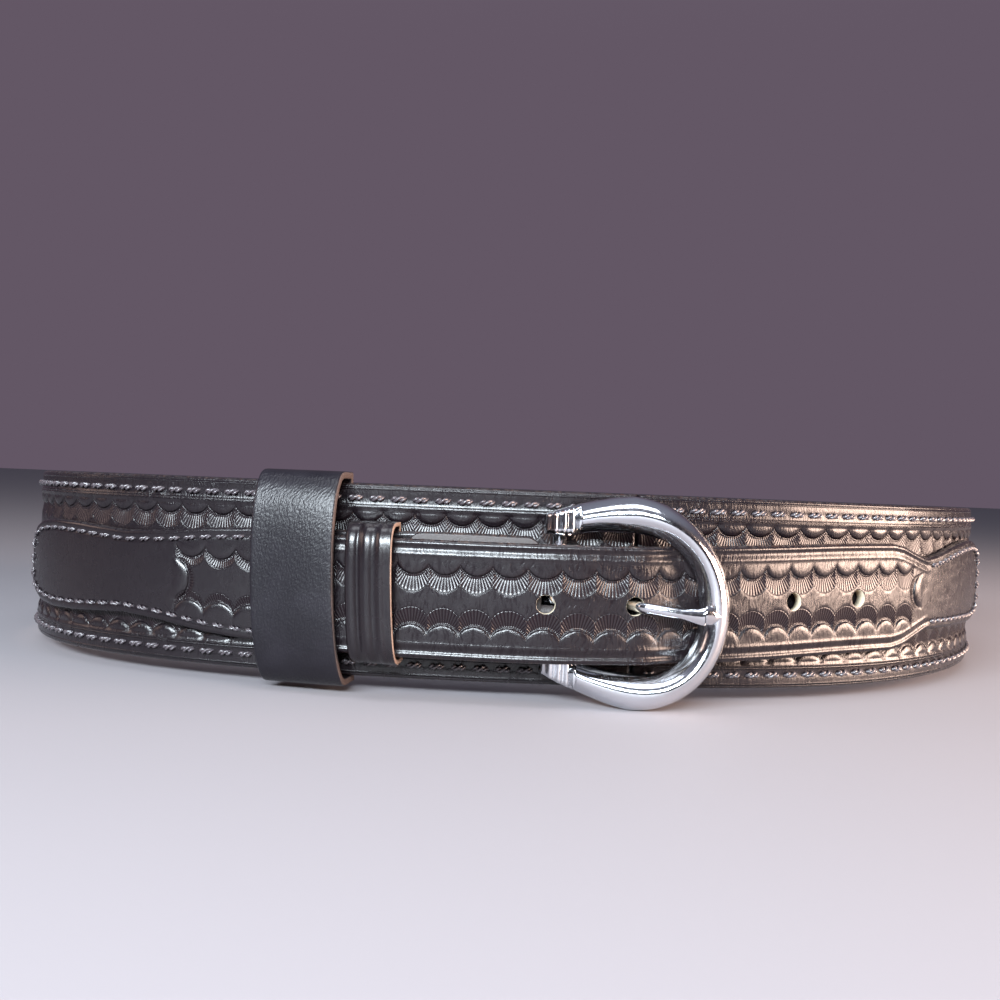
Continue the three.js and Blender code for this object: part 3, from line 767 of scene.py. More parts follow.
class Wiring:
    """Adds nodes to a tree, so that a formula over them reads as one."""

    def __init__(self, tree: bpy.types.NodeTree) -> None:
        """Starts on an existing tree."""
        self.tree = tree

    def node(self, kind: str, **settings: object) -> bpy.types.Node:
        """Adds a node and sets its properties."""
        made = self.tree.nodes.new(kind)
        for name, value in settings.items():
            setattr(made, name, value)
        return made

    def feed(self, socket: bpy.types.NodeSocket, value: object) -> None:
        """Links a socket's value, or sets it where it is a plain number or colour."""
        if isinstance(value, bpy.types.NodeSocket):
            self.tree.links.new(value, socket)
        else:
            socket.default_value = value

    def calc(self, operation: str, *values: object) -> bpy.types.NodeSocket:
        """Adds a Math node and gives its output."""
        made = self.node("ShaderNodeMath", operation=operation)
        for socket, value in zip(made.inputs, values):
            self.feed(socket, value)
        return made.outputs[0]

    def ease(self, value: object, start: float, end: float, low: float = 0.0,
             high: float = 1.0) -> bpy.types.NodeSocket:
        """Eases a value from low at start to high at end."""
        made = self.node("ShaderNodeMapRange", interpolation_type="SMOOTHSTEP")
        for name, entry in zip(("Value", "From Min", "From Max", "To Min", "To Max"),
                               (value, start, end, low, high)):
            self.feed(made.inputs[name], entry)
        return made.outputs["Result"]

    def blend(self, share: object, low: object, high: object) -> bpy.types.NodeSocket:
        """Mixes two colours."""
        made = self.node("ShaderNodeMix", data_type="RGBA")
        self.feed(made.inputs["Factor"], share)
        self.feed(made.inputs["A"], low)
        self.feed(made.inputs["B"], high)
        return made.outputs["Result"]

    def point(self, x: object, y: object, z: object = 0.0) -> bpy.types.NodeSocket:
        """Combines three values into a vector."""
        made = self.node("ShaderNodeCombineXYZ")
        for socket, value in zip(made.inputs, (x, y, z)):
            self.feed(socket, value)
        return made.outputs[0]

    def noise(self, place: object, scale: float, detail: float = 2.0,
              roughness: float = 0.5, bend: float = 0.0) -> bpy.types.NodeSocket:
        """Adds a noise texture and gives its value."""
        made = self.node("ShaderNodeTexNoise")
        for name, value in (("Vector", place), ("Scale", scale), ("Detail", detail),
                            ("Roughness", roughness), ("Distortion", bend)):
            self.feed(made.inputs[name], value)
        return made.outputs["Fac"]

    def group(self, tree: bpy.types.NodeTree, **values: object) -> bpy.types.Node:
        """Places a node group, its inputs named with underscores for spaces."""
        made = self.node("ShaderNodeGroup", node_tree=tree)
        for name, value in values.items():
            self.feed(made.inputs[name.replace("_", " ")], value)
        return made


class Effects:
    """Node groups that more than one finish uses, each built once."""

    def _begin(self, name: str, inputs: dict[str, float],
               outputs: tuple[str, ...]) -> tuple[Wiring, dict, bpy.types.Node]:
        """Opens a new group.

        Args:
            name: The group's name.
            inputs: Its inputs' names and resting values.
            outputs: Its outputs' names.

        Returns:
            The wiring, the input sockets by name, and the output node.
        """
        tree = bpy.data.node_groups.new(name, "ShaderNodeTree")
        for entry, value in inputs.items():
            socket = tree.interface.new_socket(entry, in_out="INPUT", socket_type="NodeSocketFloat")
            socket.default_value = value
        for entry in outputs:
            tree.interface.new_socket(entry, in_out="OUTPUT", socket_type="NodeSocketFloat")
        wiring = Wiring(tree)
        given = wiring.node("NodeGroupInput")
        return wiring, {entry: given.outputs[entry] for entry in inputs}, wiring.node("NodeGroupOutput")

    @cached_property
    def strap_place(self) -> bpy.types.NodeTree:
        """Place along and across a strap, in millimetres."""
        wiring, _, out = self._begin("strap_place", {}, ("Along", "Across"))
        spot = wiring.node("ShaderNodeUVMap", uv_map=STRAP_MAP)
        parts = wiring.node("ShaderNodeSeparateXYZ")
        wiring.feed(parts.inputs[0], spot.outputs[0])
        wiring.feed(out.inputs["Along"], parts.outputs[0])
        wiring.feed(out.inputs["Across"], parts.outputs[1])
        return wiring.tree

    @cached_property
    def fan_press(self) -> bpy.types.NodeTree:
        """Radial lines and crisp arcs of a row of shell stamps."""
        wiring, given, out = self._begin("fan_press", {
            "Along": 0, "Across": 0, "First Cusp": 0, "Pitch": 7, "Cusp Line": 9,
            "Arc Radius": 4, "Arc Drop": 1.5, "Shell Radius": 4, "Shell Drop": 2,
            "Lines": 70, "Start": -200, "End": 1000,
        }, ("Height", "Pressed", "Groove"))
        calc = wiring.calc
        steps = calc("DIVIDE", calc("SUBTRACT", given["Along"], given["First Cusp"]), given["Pitch"])
        sideways = calc("MULTIPLY", calc("SUBTRACT", calc("FRACT", steps), 0.5), given["Pitch"])
        inward = calc("SUBTRACT", given["Cusp Line"], calc("ABSOLUTE", given["Across"]))
        out_of_arc = calc("ADD", inward, given["Arc Drop"])
        side_square = calc("MULTIPLY", sideways, sideways)
        from_centre = calc("SQRT", calc("MULTIPLY_ADD", out_of_arc, out_of_arc, side_square))
        from_arc = calc("SUBTRACT", from_centre, given["Arc Radius"])
        in_shell = calc("SUBTRACT", inward, given["Shell Drop"])
        to_shell = calc("SQRT", calc("MULTIPLY_ADD", in_shell, in_shell, side_square))
        from_rim = calc("SUBTRACT", given["Shell Radius"], to_shell)
        inside = calc("MULTIPLY", wiring.ease(from_arc, 0.0, 0.25), wiring.ease(from_rim, 0.0, 0.2))
        in_row = calc("MULTIPLY", calc("GREATER_THAN", given["Along"], given["Start"]),
                      calc("LESS_THAN", given["Along"], given["End"]))
        inside = calc("MULTIPLY", inside, in_row)
        turn = calc("ARCTAN2", sideways, out_of_arc)
        line = calc("MULTIPLY_ADD", calc("SINE", calc("MULTIPLY", turn, given["Lines"])), 0.5, 0.5)
        arc = wiring.ease(calc("ABSOLUTE", from_arc), 0.0, 0.28, 1.0, 0.0)
        arc = calc("MULTIPLY", calc("MULTIPLY", arc, calc("GREATER_THAN", inward, -0.25)), in_row)
        rim = wiring.ease(calc("ABSOLUTE", from_rim), 0.0, 0.2, 1.0, 0.0)
        rim = calc("MULTIPLY", calc("MULTIPLY", rim, calc("GREATER_THAN", from_arc, 0.4)), in_row)
        # Groove marks the lines' hollows, which the leather darkens with painted shade.
        groove = calc("MULTIPLY", wiring.ease(line, 0.15, 0.75, 1.0, 0.0), inside)
        wiring.feed(out.inputs["Groove"], groove)
        height = calc("MULTIPLY", calc("MULTIPLY", line, inside), 0.06)
        height = calc("MULTIPLY_ADD", arc, -0.14, height)
        height = calc("MULTIPLY_ADD", rim, -0.07, height)
        wiring.feed(out.inputs["Height"], height)
        wiring.feed(out.inputs["Pressed"], inside)
        return wiring.tree

    @cached_property
    def leather_grain(self) -> bpy.types.NodeTree:
        """Fine creases across a strap with a little pore grain, a slow mottle, and a mask of painted shade in
        the creases.
        """
        wiring, given, out = self._begin("leather_grain", {
            "Along": 0, "Across": 0, "Crease": 0.05, "Pore": 0.02}, ("Height", "Mottle", "Shade"))
        along, across = given["Along"], given["Across"]
        bend = wiring.noise(wiring.point(along, across), 0.22, 1.0)
        lean = wiring.calc("MULTIPLY_ADD", bend, 3.0, along)
        crease = wiring.noise(wiring.point(lean, wiring.calc("MULTIPLY", across, 0.16)), 2.1, 2.0, 0.6, 0.4)
        pore = wiring.noise(wiring.point(along, across), 3.4, 3.0, 0.65)
        height = wiring.calc("MULTIPLY", wiring.ease(crease, 0.35, 0.62), given["Crease"])
        height = wiring.calc("MULTIPLY_ADD", pore, given["Pore"], height)
        mottle = wiring.noise(wiring.point(along, across), 0.13, 3.0, 0.6)
        wiring.feed(out.inputs["Height"], height)
        wiring.feed(out.inputs["Mottle"], mottle)
        # Shade is painted shade: it marks the creases, where the leather's shine is turned down.
        wiring.feed(out.inputs["Shade"], wiring.ease(crease, 0.34, 0.5, 1.0, 0.0))
        return wiring.tree

    @cached_property
    def pebble_grain(self) -> bpy.types.NodeTree:
        """Small pebbles drawn out on a slant, as on soft grained leather."""
        wiring, given, out = self._begin("pebble_grain", {
            "Along": 0, "Across": 0, "Size": 0.55}, ("Height", "Mottle"))
        calc = wiring.calc
        slow = wiring.noise(wiring.point(given["Along"], given["Across"]), 0.25, 1.0)
        steep = calc("ADD", calc("MULTIPLY", given["Along"], 0.86), calc("MULTIPLY", given["Across"], -0.5))
        flat = calc("ADD", calc("MULTIPLY", given["Along"], 0.5), calc("MULTIPLY", given["Across"], 0.86))
        steep = calc("DIVIDE", calc("MULTIPLY_ADD", slow, 1.4, steep), given["Size"])
        flat = calc("DIVIDE", flat, calc("MULTIPLY", given["Size"], 2.3))
        cells = wiring.node("ShaderNodeTexVoronoi", feature="SMOOTH_F1")
        wiring.feed(cells.inputs["Vector"], wiring.point(steep, flat))
        wiring.feed(cells.inputs["Scale"], 1.0)
        wiring.feed(cells.inputs["Smoothness"], 0.6)
        fine = wiring.noise(wiring.point(steep, flat), 1.7, 2.0, 0.6)
        height = calc("SUBTRACT", calc("MULTIPLY", fine, 0.5), cells.outputs["Distance"])
        wiring.feed(out.inputs["Height"], height)
        mottle = wiring.noise(wiring.point(given["Along"], given["Across"]), 0.1, 2.0)
        wiring.feed(out.inputs["Mottle"], mottle)
        return wiring.tree

    @cached_property
    def border_lines(self) -> bpy.types.NodeTree:
        """The twin ridge on a border's bead, and the crease beside the edge."""
        wiring, given, out = self._begin("border_lines", {
            "Across": 0, "Half": 22.25, "Bead At": 5.1, "Line At": 1.1}, ("Height",))
        calc = wiring.calc
        inset = calc("SUBTRACT", given["Half"], calc("ABSOLUTE", given["Across"]))
        from_bead = calc("ABSOLUTE", calc("SUBTRACT", inset, given["Bead At"]))
        twin = wiring.ease(calc("ABSOLUTE", calc("SUBTRACT", from_bead, 0.28)), 0.0, 0.2, 0.13, 0.0)
        from_line = calc("SUBTRACT", inset, given["Line At"])
        ridge = wiring.ease(calc("ABSOLUTE", from_line), 0.0, 0.26, 0.13, 0.0)
        crease = wiring.ease(calc("ABSOLUTE", calc("ADD", from_line, 0.4)), 0.0, 0.26, -0.12, 0.0)
        wiring.feed(out.inputs["Height"], calc("ADD", twin, calc("ADD", ridge, crease)))
        return wiring.tree

    @cached_property
    def edge_wear(self) -> bpy.types.NodeTree:
        """A broken mask along a strap's edges, where the dye has rubbed thin."""
        wiring, given, out = self._begin("edge_wear", {
            "Along": 0, "Across": 0, "Half": 13.2, "Width": 0.5}, ("Worn",))
        inset = wiring.calc("SUBTRACT", given["Half"], wiring.calc("ABSOLUTE", given["Across"]))
        near = wiring.ease(wiring.calc("DIVIDE", inset, given["Width"]), 0.0, 1.0, 1.0, 0.0)
        broken = wiring.noise(wiring.point(given["Along"], given["Across"]), 0.9, 3.0, 0.65)
        wiring.feed(out.inputs["Worn"], wiring.calc("MULTIPLY", near, wiring.ease(broken, 0.45, 0.7)))
        return wiring.tree

    @cached_property
    def dust(self) -> bpy.types.NodeTree:
        """A faint dust that lies on what faces up."""
        wiring, given, out = self._begin("dust", {"Amount": 0.1}, ("Mask",))
        facing = wiring.node("ShaderNodeNewGeometry")
        parts = wiring.node("ShaderNodeSeparateXYZ")
        wiring.feed(parts.inputs[0], facing.outputs["Normal"])
        up = wiring.ease(parts.outputs[2], 0.35, 1.0)
        place = wiring.node("ShaderNodeTexCoord")
        specks = wiring.ease(wiring.noise(place.outputs["Object"], 900.0, 3.0, 0.7), 0.42, 0.75)
        dusted = wiring.calc("MULTIPLY", up, specks)
        wiring.feed(out.inputs["Mask"], wiring.calc("MULTIPLY", dusted, given["Amount"]))
        return wiring.tree


EFFECTS = Effects()
Colour = tuple[float, float, float, float]


def new_material(name: str) -> tuple[bpy.types.Material, Wiring, bpy.types.Node]:
    """Makes a material, and gives it with its wiring and its Principled shader."""
    material = bpy.data.materials.new(name)
    material.use_nodes = True
    return material, Wiring(material.node_tree), material.node_tree.nodes["Principled BSDF"]


@dataclass(frozen=True)
class TooledLeather:
    """Black bridle leather with a hard shine, pressed with rows of shells."""

    name: str
    half: float
    stamp: FanStamp | None = None
    row_start: float = -500.0
    row_end: float = 1500.0
    dye: Colour = (0.005, 0.0034, 0.0048, 1)
    pressed: Colour = (0.009, 0.006, 0.0075, 1)
    rubbed: Colour = (0.07, 0.035, 0.022, 1)
    raw: Colour = (0.46, 0.41, 0.31, 1)
    shine: float = 0.27
    crease: float = 0.03
    # shade: how strongly the creases' painted shade turns the shine down.
    shade: float = 0.6
    bead_at: float = 0.0
    line_at: float = 0.0
    end: EndStamp | None = None

    def material(self) -> bpy.types.Material:
        """Builds the material."""
        material, wiring, shader = new_material(self.name)
        place = wiring.group(EFFECTS.strap_place)
        along, across = place.outputs["Along"], place.outputs["Across"]
        grain = wiring.group(EFFECTS.leather_grain, Along=along, Across=across, Crease=self.crease)
        worn = wiring.group(EFFECTS.edge_wear, Along=along, Across=across, Half=self.half)
        colour = wiring.blend(wiring.calc("MULTIPLY", grain.outputs["Mottle"], 0.35), self.dye, self.pressed)
        height = grain.outputs["Height"]
        shade = wiring.calc("MULTIPLY", grain.outputs["Shade"], self.shade)
        if self.stamp:
            fans = wiring.group(
                EFFECTS.fan_press, Along=along, Across=across, First_Cusp=self.stamp.first_cusp,
                Pitch=self.stamp.pitch, Cusp_Line=self.half - self.stamp.cusp_inset,
                Arc_Radius=self.stamp.arc_radius, Arc_Drop=self.stamp.arc_drop,
                Shell_Radius=self.stamp.shell_radius, Shell_Drop=self.stamp.shell_drop,
                Lines=self.stamp.lines, Start=self.row_start, End=self.row_end)
            pressed, struck = fans.outputs["Pressed"], fans.outputs["Height"]
            # Painted shade: inside the pressed shells it leaves the creases and goes to the fans' grooves.
            shade = wiring.calc("MULTIPLY", shade, wiring.calc("SUBTRACT", 1.0, pressed))
            shade = wiring.calc("MAXIMUM", shade, fans.outputs["Groove"])
            if self.end:
                shell = self._end_shell(wiring, along, across)
                pressed = wiring.calc("MAXIMUM", pressed, shell.outputs["Pressed"])
                struck = wiring.calc("ADD", struck, shell.outputs["Height"])
                shade = wiring.calc("MAXIMUM", shade, shell.outputs["Groove"])
            colour = wiring.blend(pressed, colour, self.pressed)
            calm = wiring.calc("MULTIPLY_ADD", pressed, -0.8, 1.0)
            height = wiring.calc("MULTIPLY_ADD", height, calm, struck)
        if self.bead_at:
            lines = wiring.group(EFFECTS.border_lines, Across=across, Half=self.half,
                                 Bead_At=self.bead_at, Line_At=self.line_at)
            height = wiring.calc("ADD", height, lines.outputs["Height"])
        colour = wiring.blend(wiring.calc("MULTIPLY", worn.outputs["Worn"], 0.6), colour, self.rubbed)
        mask = wiring.node("ShaderNodeAttribute", attribute_name=RAW_EDGE)
        bare = wiring.ease(mask.outputs["Fac"], 0.82, 0.98)
        flecks = wiring.ease(grain.outputs["Mottle"], 0.35, 0.6, 0.45, 1.0)
        colour = wiring.blend(wiring.calc("MULTIPLY", bare, flecks), colour, self.raw)
        dust = wiring.group(EFFECTS.dust, Amount=0.12)
        colour = wiring.blend(dust.outputs["Mask"], colour, (0.3, 0.28, 0.27, 1))
        rough = wiring.calc("MULTIPLY_ADD", grain.outputs["Mottle"], 0.16, self.shine - 0.08)
        rough = wiring.calc("MULTIPLY_ADD", bare, 0.5, rough)
        bump = wiring.node("ShaderNodeBump")
        wiring.feed(bump.inputs["Height"], height)
        bump.inputs["Distance"].default_value = MM
        bump.inputs["Strength"].default_value = 1.0
        wiring.feed(shader.inputs["Base Color"], colour)
        wiring.feed(shader.inputs["Roughness"], rough)
        wiring.feed(shader.inputs["Normal"], bump.outputs[0])
        # Painted shade: the specular level and the coat drop where the shade mask is high, darkening creases
        # and grooves.
        wiring.feed(shader.inputs["Specular IOR Level"], wiring.calc("MULTIPLY_ADD", shade, -0.44, 0.5))
        wiring.feed(shader.inputs["Coat Weight"], wiring.calc("MULTIPLY_ADD", shade, -0.1, 0.11))
        shader.inputs["IOR"].default_value = 1.43
        shader.inputs["Coat Roughness"].default_value = 0.12
        return material


    def _end_shell(self, wiring: Wiring, along: object, across: object) -> bpy.types.Node:
        """Lines of the shell struck across the strap's tab end."""
        stamp = self.end.stamp
        beside = wiring.calc("ADD", across, stamp.pitch / 2 - self.end.centre)
        away = wiring.calc("MULTIPLY_ADD", along, -self.end.ahead, 100.0 + self.end.at * self.end.ahead)
        return wiring.group(
            EFFECTS.fan_press, Along=beside, Across=away, First_Cusp=0.0, Pitch=stamp.pitch,
            Cusp_Line=100.0, Arc_Radius=stamp.arc_radius, Arc_Drop=stamp.arc_drop,
            Shell_Radius=stamp.shell_radius, Shell_Drop=stamp.shell_drop, Lines=stamp.lines,
            Start=0.0, End=stamp.pitch)


@dataclass(frozen=True)
class GrainedLeather:
    """Soft matt leather with a fine slanting pebble grain."""

    name: str
    dye: Colour = (0.004, 0.0033, 0.0055, 1)
    worn: Colour = (0.007, 0.006, 0.009, 1)
    raw: Colour = (0.05, 0.034, 0.03, 1)
    pebble: float = 0.32
    depth: float = 0.07
    sheen: float = 0.36

    def material(self) -> bpy.types.Material:
        """Builds the material."""
        material, wiring, shader = new_material(self.name)
        place = wiring.group(EFFECTS.strap_place)
        grain = wiring.group(EFFECTS.pebble_grain, Along=place.outputs["Along"],
                             Across=place.outputs["Across"], Size=self.pebble)
        mask = wiring.node("ShaderNodeAttribute", attribute_name=RAW_EDGE)
        bare = wiring.ease(mask.outputs["Fac"], 0.82, 0.98)
        colour = wiring.blend(wiring.ease(grain.outputs["Mottle"], 0.4, 0.7), self.dye, self.worn)
        flecks = wiring.ease(grain.outputs["Mottle"], 0.3, 0.62, 0.55, 1.0)
        colour = wiring.blend(wiring.calc("MULTIPLY", bare, flecks), colour, self.raw)
        bump = wiring.node("ShaderNodeBump")
        wiring.feed(bump.inputs["Height"], grain.outputs["Height"])
        bump.inputs["Distance"].default_value = MM * self.depth
        wiring.feed(shader.inputs["Base Color"], colour)
        wiring.feed(shader.inputs["Roughness"], wiring.calc("MULTIPLY_ADD", bare, 0.4, self.sheen))
        wiring.feed(shader.inputs["Normal"], bump.outputs[0])
        shader.inputs["IOR"].default_value = 1.4
        return material


@dataclass(frozen=True)
class FleshSide:
    """The smooth dyed back of a strap."""

    name: str
    dye: Colour = (0.016, 0.012, 0.013, 1)

    def material(self) -> bpy.types.Material:
        """Builds the material."""
        material, wiring, shader = new_material(self.name)
        place = wiring.group(EFFECTS.strap_place)
        grain = wiring.group(EFFECTS.leather_grain, Along=place.outputs["Along"],
                             Across=place.outputs["Across"], Crease=0.02, Pore=0.06)
        colour = wiring.blend(grain.outputs["Mottle"], self.dye, (0.03, 0.022, 0.021, 1))
        bump = wiring.node("ShaderNodeBump")
        wiring.feed(bump.inputs["Height"], grain.outputs["Height"])
        bump.inputs["Distance"].default_value = MM
        wiring.feed(shader.inputs["Base Color"], colour)
        wiring.feed(shader.inputs["Normal"], bump.outputs[0])
        shader.inputs["Roughness"].default_value = 0.5
        return material


@dataclass(frozen=True)
class Chrome:
    """Bright plated metal, a little soft from handling."""

    name: str
    tone: Colour = (0.66, 0.67, 0.7, 1)
    roughness: float = 0.1

    def material(self) -> bpy.types.Material:
        """Builds the material."""
        material, wiring, shader = new_material(self.name)
        place = wiring.node("ShaderNodeTexCoord").outputs["Object"]
        waves = wiring.noise(place, 160.0, 2.0)
        marks = wiring.ease(wiring.noise(place, 1400.0, 3.0, 0.7), 0.35, 0.8)
        bump = wiring.node("ShaderNodeBump")
        wiring.feed(bump.inputs["Height"], waves)
        bump.inputs["Distance"].default_value = 0.05 * MM
        wiring.feed(shader.inputs["Roughness"], wiring.calc("MULTIPLY_ADD", marks, 0.1, self.roughness))
        wiring.feed(shader.inputs["Normal"], bump.outputs[0])
        shader.inputs["Base Color"].default_value = self.tone
        shader.inputs["Metallic"].default_value = 1.0
        return material


@dataclass(frozen=True)
class Thread:
    """Waxed black thread."""

    name: str
    dye: Colour = (0.05, 0.042, 0.048, 1)

    def material(self) -> bpy.types.Material:
        """Builds the material."""
        material, wiring, shader = new_material(self.name)
        place = wiring.node("ShaderNodeTexCoord").outputs["Object"]
        fuzz = wiring.noise(place, 5200.0, 2.0, 0.6)
        bump = wiring.node("ShaderNodeBump")
        wiring.feed(bump.inputs["Height"], fuzz)
        bump.inputs["Distance"].default_value = 0.08 * MM
        wiring.feed(shader.inputs["Normal"], bump.outputs[0])
        shader.inputs["Base Color"].default_value = self.dye
        shader.inputs["Roughness"].default_value = 0.27
        shader.inputs["Coat Weight"].default_value = 0.6
        return material


@dataclass
class Stitching:
    """Rows of saddle stitches: short lengths of two-ply thread that dive into their holes."""

    radius: float = 0.42
    rings: int = 12
    sides: int = 6
    twist: float = 1.2
    slant: float = 0.22

    def template(self, length: float) -> tuple[np.ndarray, np.ndarray]:
        """One stitch about its own middle, as points and quads.

        Args:
            length: Distance between the stitch's two holes.

        Returns:
            Points as along, outward and up, and the quads over them.
        """
        share = np.linspace(-1, 1, self.rings)
        run = share * length / 2
        rise = self.radius * 1.7 * (1 - np.abs(share) ** 4) - self.radius * 1.1
        swell = 0.72 + 0.28 * np.sqrt(np.clip(1 - share**6, 0, 1))
        points, faces = [], []
        turn = np.linspace(0, 2 * math.pi, self.sides, endpoint=False)
        for ply in (0, math.pi):
            lay = ply + self.twist * share * math.pi
            centre = np.column_stack([
                run, rise + 0.5 * self.radius * np.cos(lay), 0.55 * self.radius * np.sin(lay)])
            ring = self.radius * 0.66 * swell[:, None]
            mesh = np.stack([centre[:, None, 0] + 0 * turn[None, :],
                             centre[:, None, 1] + ring * np.cos(turn)[None, :],
                             centre[:, None, 2] + ring * np.sin(turn)[None, :]], axis=-1)
            mesh[:, :, 2] += self.slant * mesh[:, :, 0]
            quads = tube_faces(self.rings, self.sides)[0]
            faces.append(quads + len(points) * self.rings * self.sides)
            points.append(mesh.reshape(-1, 3))
        return np.vstack(points), np.vstack(faces)

    def sew(self, at: np.ndarray, lift: np.ndarray, height: np.ndarray) -> Part:
        """Sews along a route, one stitch between each two neighbouring holes.

        Args:
            at: Places of the holes along the belt.
            lift: Their lifts.
            height: Their heights.

        Returns:
            The stitches as one part.
        """
        step = np.stack([np.diff(at), np.diff(lift), np.diff(height)], axis=-1)
        middle = np.stack([at[:-1] + at[1:], lift[:-1] + lift[1:], height[:-1] + height[1:]], axis=-1) / 2
        length = np.linalg.norm(step, axis=1)
        ahead = step / length[:, None]
        out = np.array([0.0, 1.0, 0.0]) - ahead * ahead[:, 1:2]
        out /= np.linalg.norm(out, axis=1)[:, None]
        side = np.cross(ahead, out)
        side *= np.where(side[:, 2:3] < 0, -1, 1)
        shape, quads = self.template(1.0)
        spots = (middle[:, None, :]
                 + shape[None, :, 0:1] * 0.72 * step[:, None, :]
                 + shape[None, :, 1:2] * out[:, None, :]
                 + shape[None, :, 2:3] * side[:, None, :])
        spots = spots.reshape(-1, 3)
        points = RING.lay(spots[:, 0], spots[:, 1], spots[:, 2])
        count = len(middle)
        faces = (quads[None] + (np.arange(count) * len(shape))[:, None, None]).reshape(-1, 4)
        return Part(points, [faces])


def holes_along(start: float, end: float, pitch: float) -> np.ndarray:
    """Stitch holes from start to end, spaced as near to the pitch as fits."""
    return np.linspace(start, end, max(2, round(abs(end - start) / pitch) + 1))


@dataclass
class BaseStrap:
    """The wide tooled band round the waist, sewn along both edges."""

    thickness: float = SIZES.base_thickness
    half: float = SIZES.belt_width / 2
    seam_slit: float = 0.1
    start: float = SIZES.seam_at
    front_reach: float = 152.0
    front_step: float = 0.55
    rear_step: float = 1.2
    stitch_pitch: float = 5.1
    stitch_inset: float = 3.3

    def relief(self, at: np.ndarray, across: np.ndarray, half: np.ndarray) -> np.ndarray:
        """Border lines, and the two rows of shells."""
        border = read_table(BASE_BORDER, half - np.abs(across))
        return border + BASE_STAMP.row(at, across, self.half)

    def build(self, leather: bpy.types.Material, flesh: bpy.types.Material,
              thread: bpy.types.Material) -> list[bpy.types.Object]:
        """Builds the band and its stitches."""
        end = self.start + SIZES.outer_girth - self.seam_slit
        turn = SIZES.outer_girth
        at = stretch((self.start, self.front_reach, self.front_step),
                     (self.front_reach, turn - self.front_reach, self.rear_step),
                     (turn - self.front_reach, end, self.front_step))
        thin = self.thickness * blunt(at, self.start, end, 0.12)
        plain = np.zeros(len(at))
        run = Run(at, plain - self.thickness / 2, thin, plain + self.half,
                  plain + self.half, plain, outer_round=1.1, inner_round=0.8)
        across = graded(((1.1, 0.36), (13.0, 1.6)), self.half)
        band = run.skin(across, self.half, self.relief, inner_rows=8)
        pieces = [band.to_object("base_strap_leather", [leather, flesh])]
        holes = holes_along(self.start + 1.5, end - 1.5, self.stitch_pitch)
        rows = []
        for side in Side:
            height = self.half + side.value * (self.half - self.stitch_inset)
            rows.append(Stitching(radius=0.62).sew(holes, 0 * holes + 0.08, 0 * holes + height))
        pieces.append(join_parts(rows).to_object("base_strap_stitches", [thread]))
        return pieces


def lay_overlay(at: np.ndarray, lift, thickness: np.ndarray, centre, half: np.ndarray) -> Run:
    """Sections of a strap that lies on the belt, square to its own slope."""
    middle = lift(at) + thickness / 2
    slope = (lift(at + 0.2) - lift(at - 0.2)) / 0.4
    return Run(at, middle, thickness, centre(at), half, np.arctan(slope))


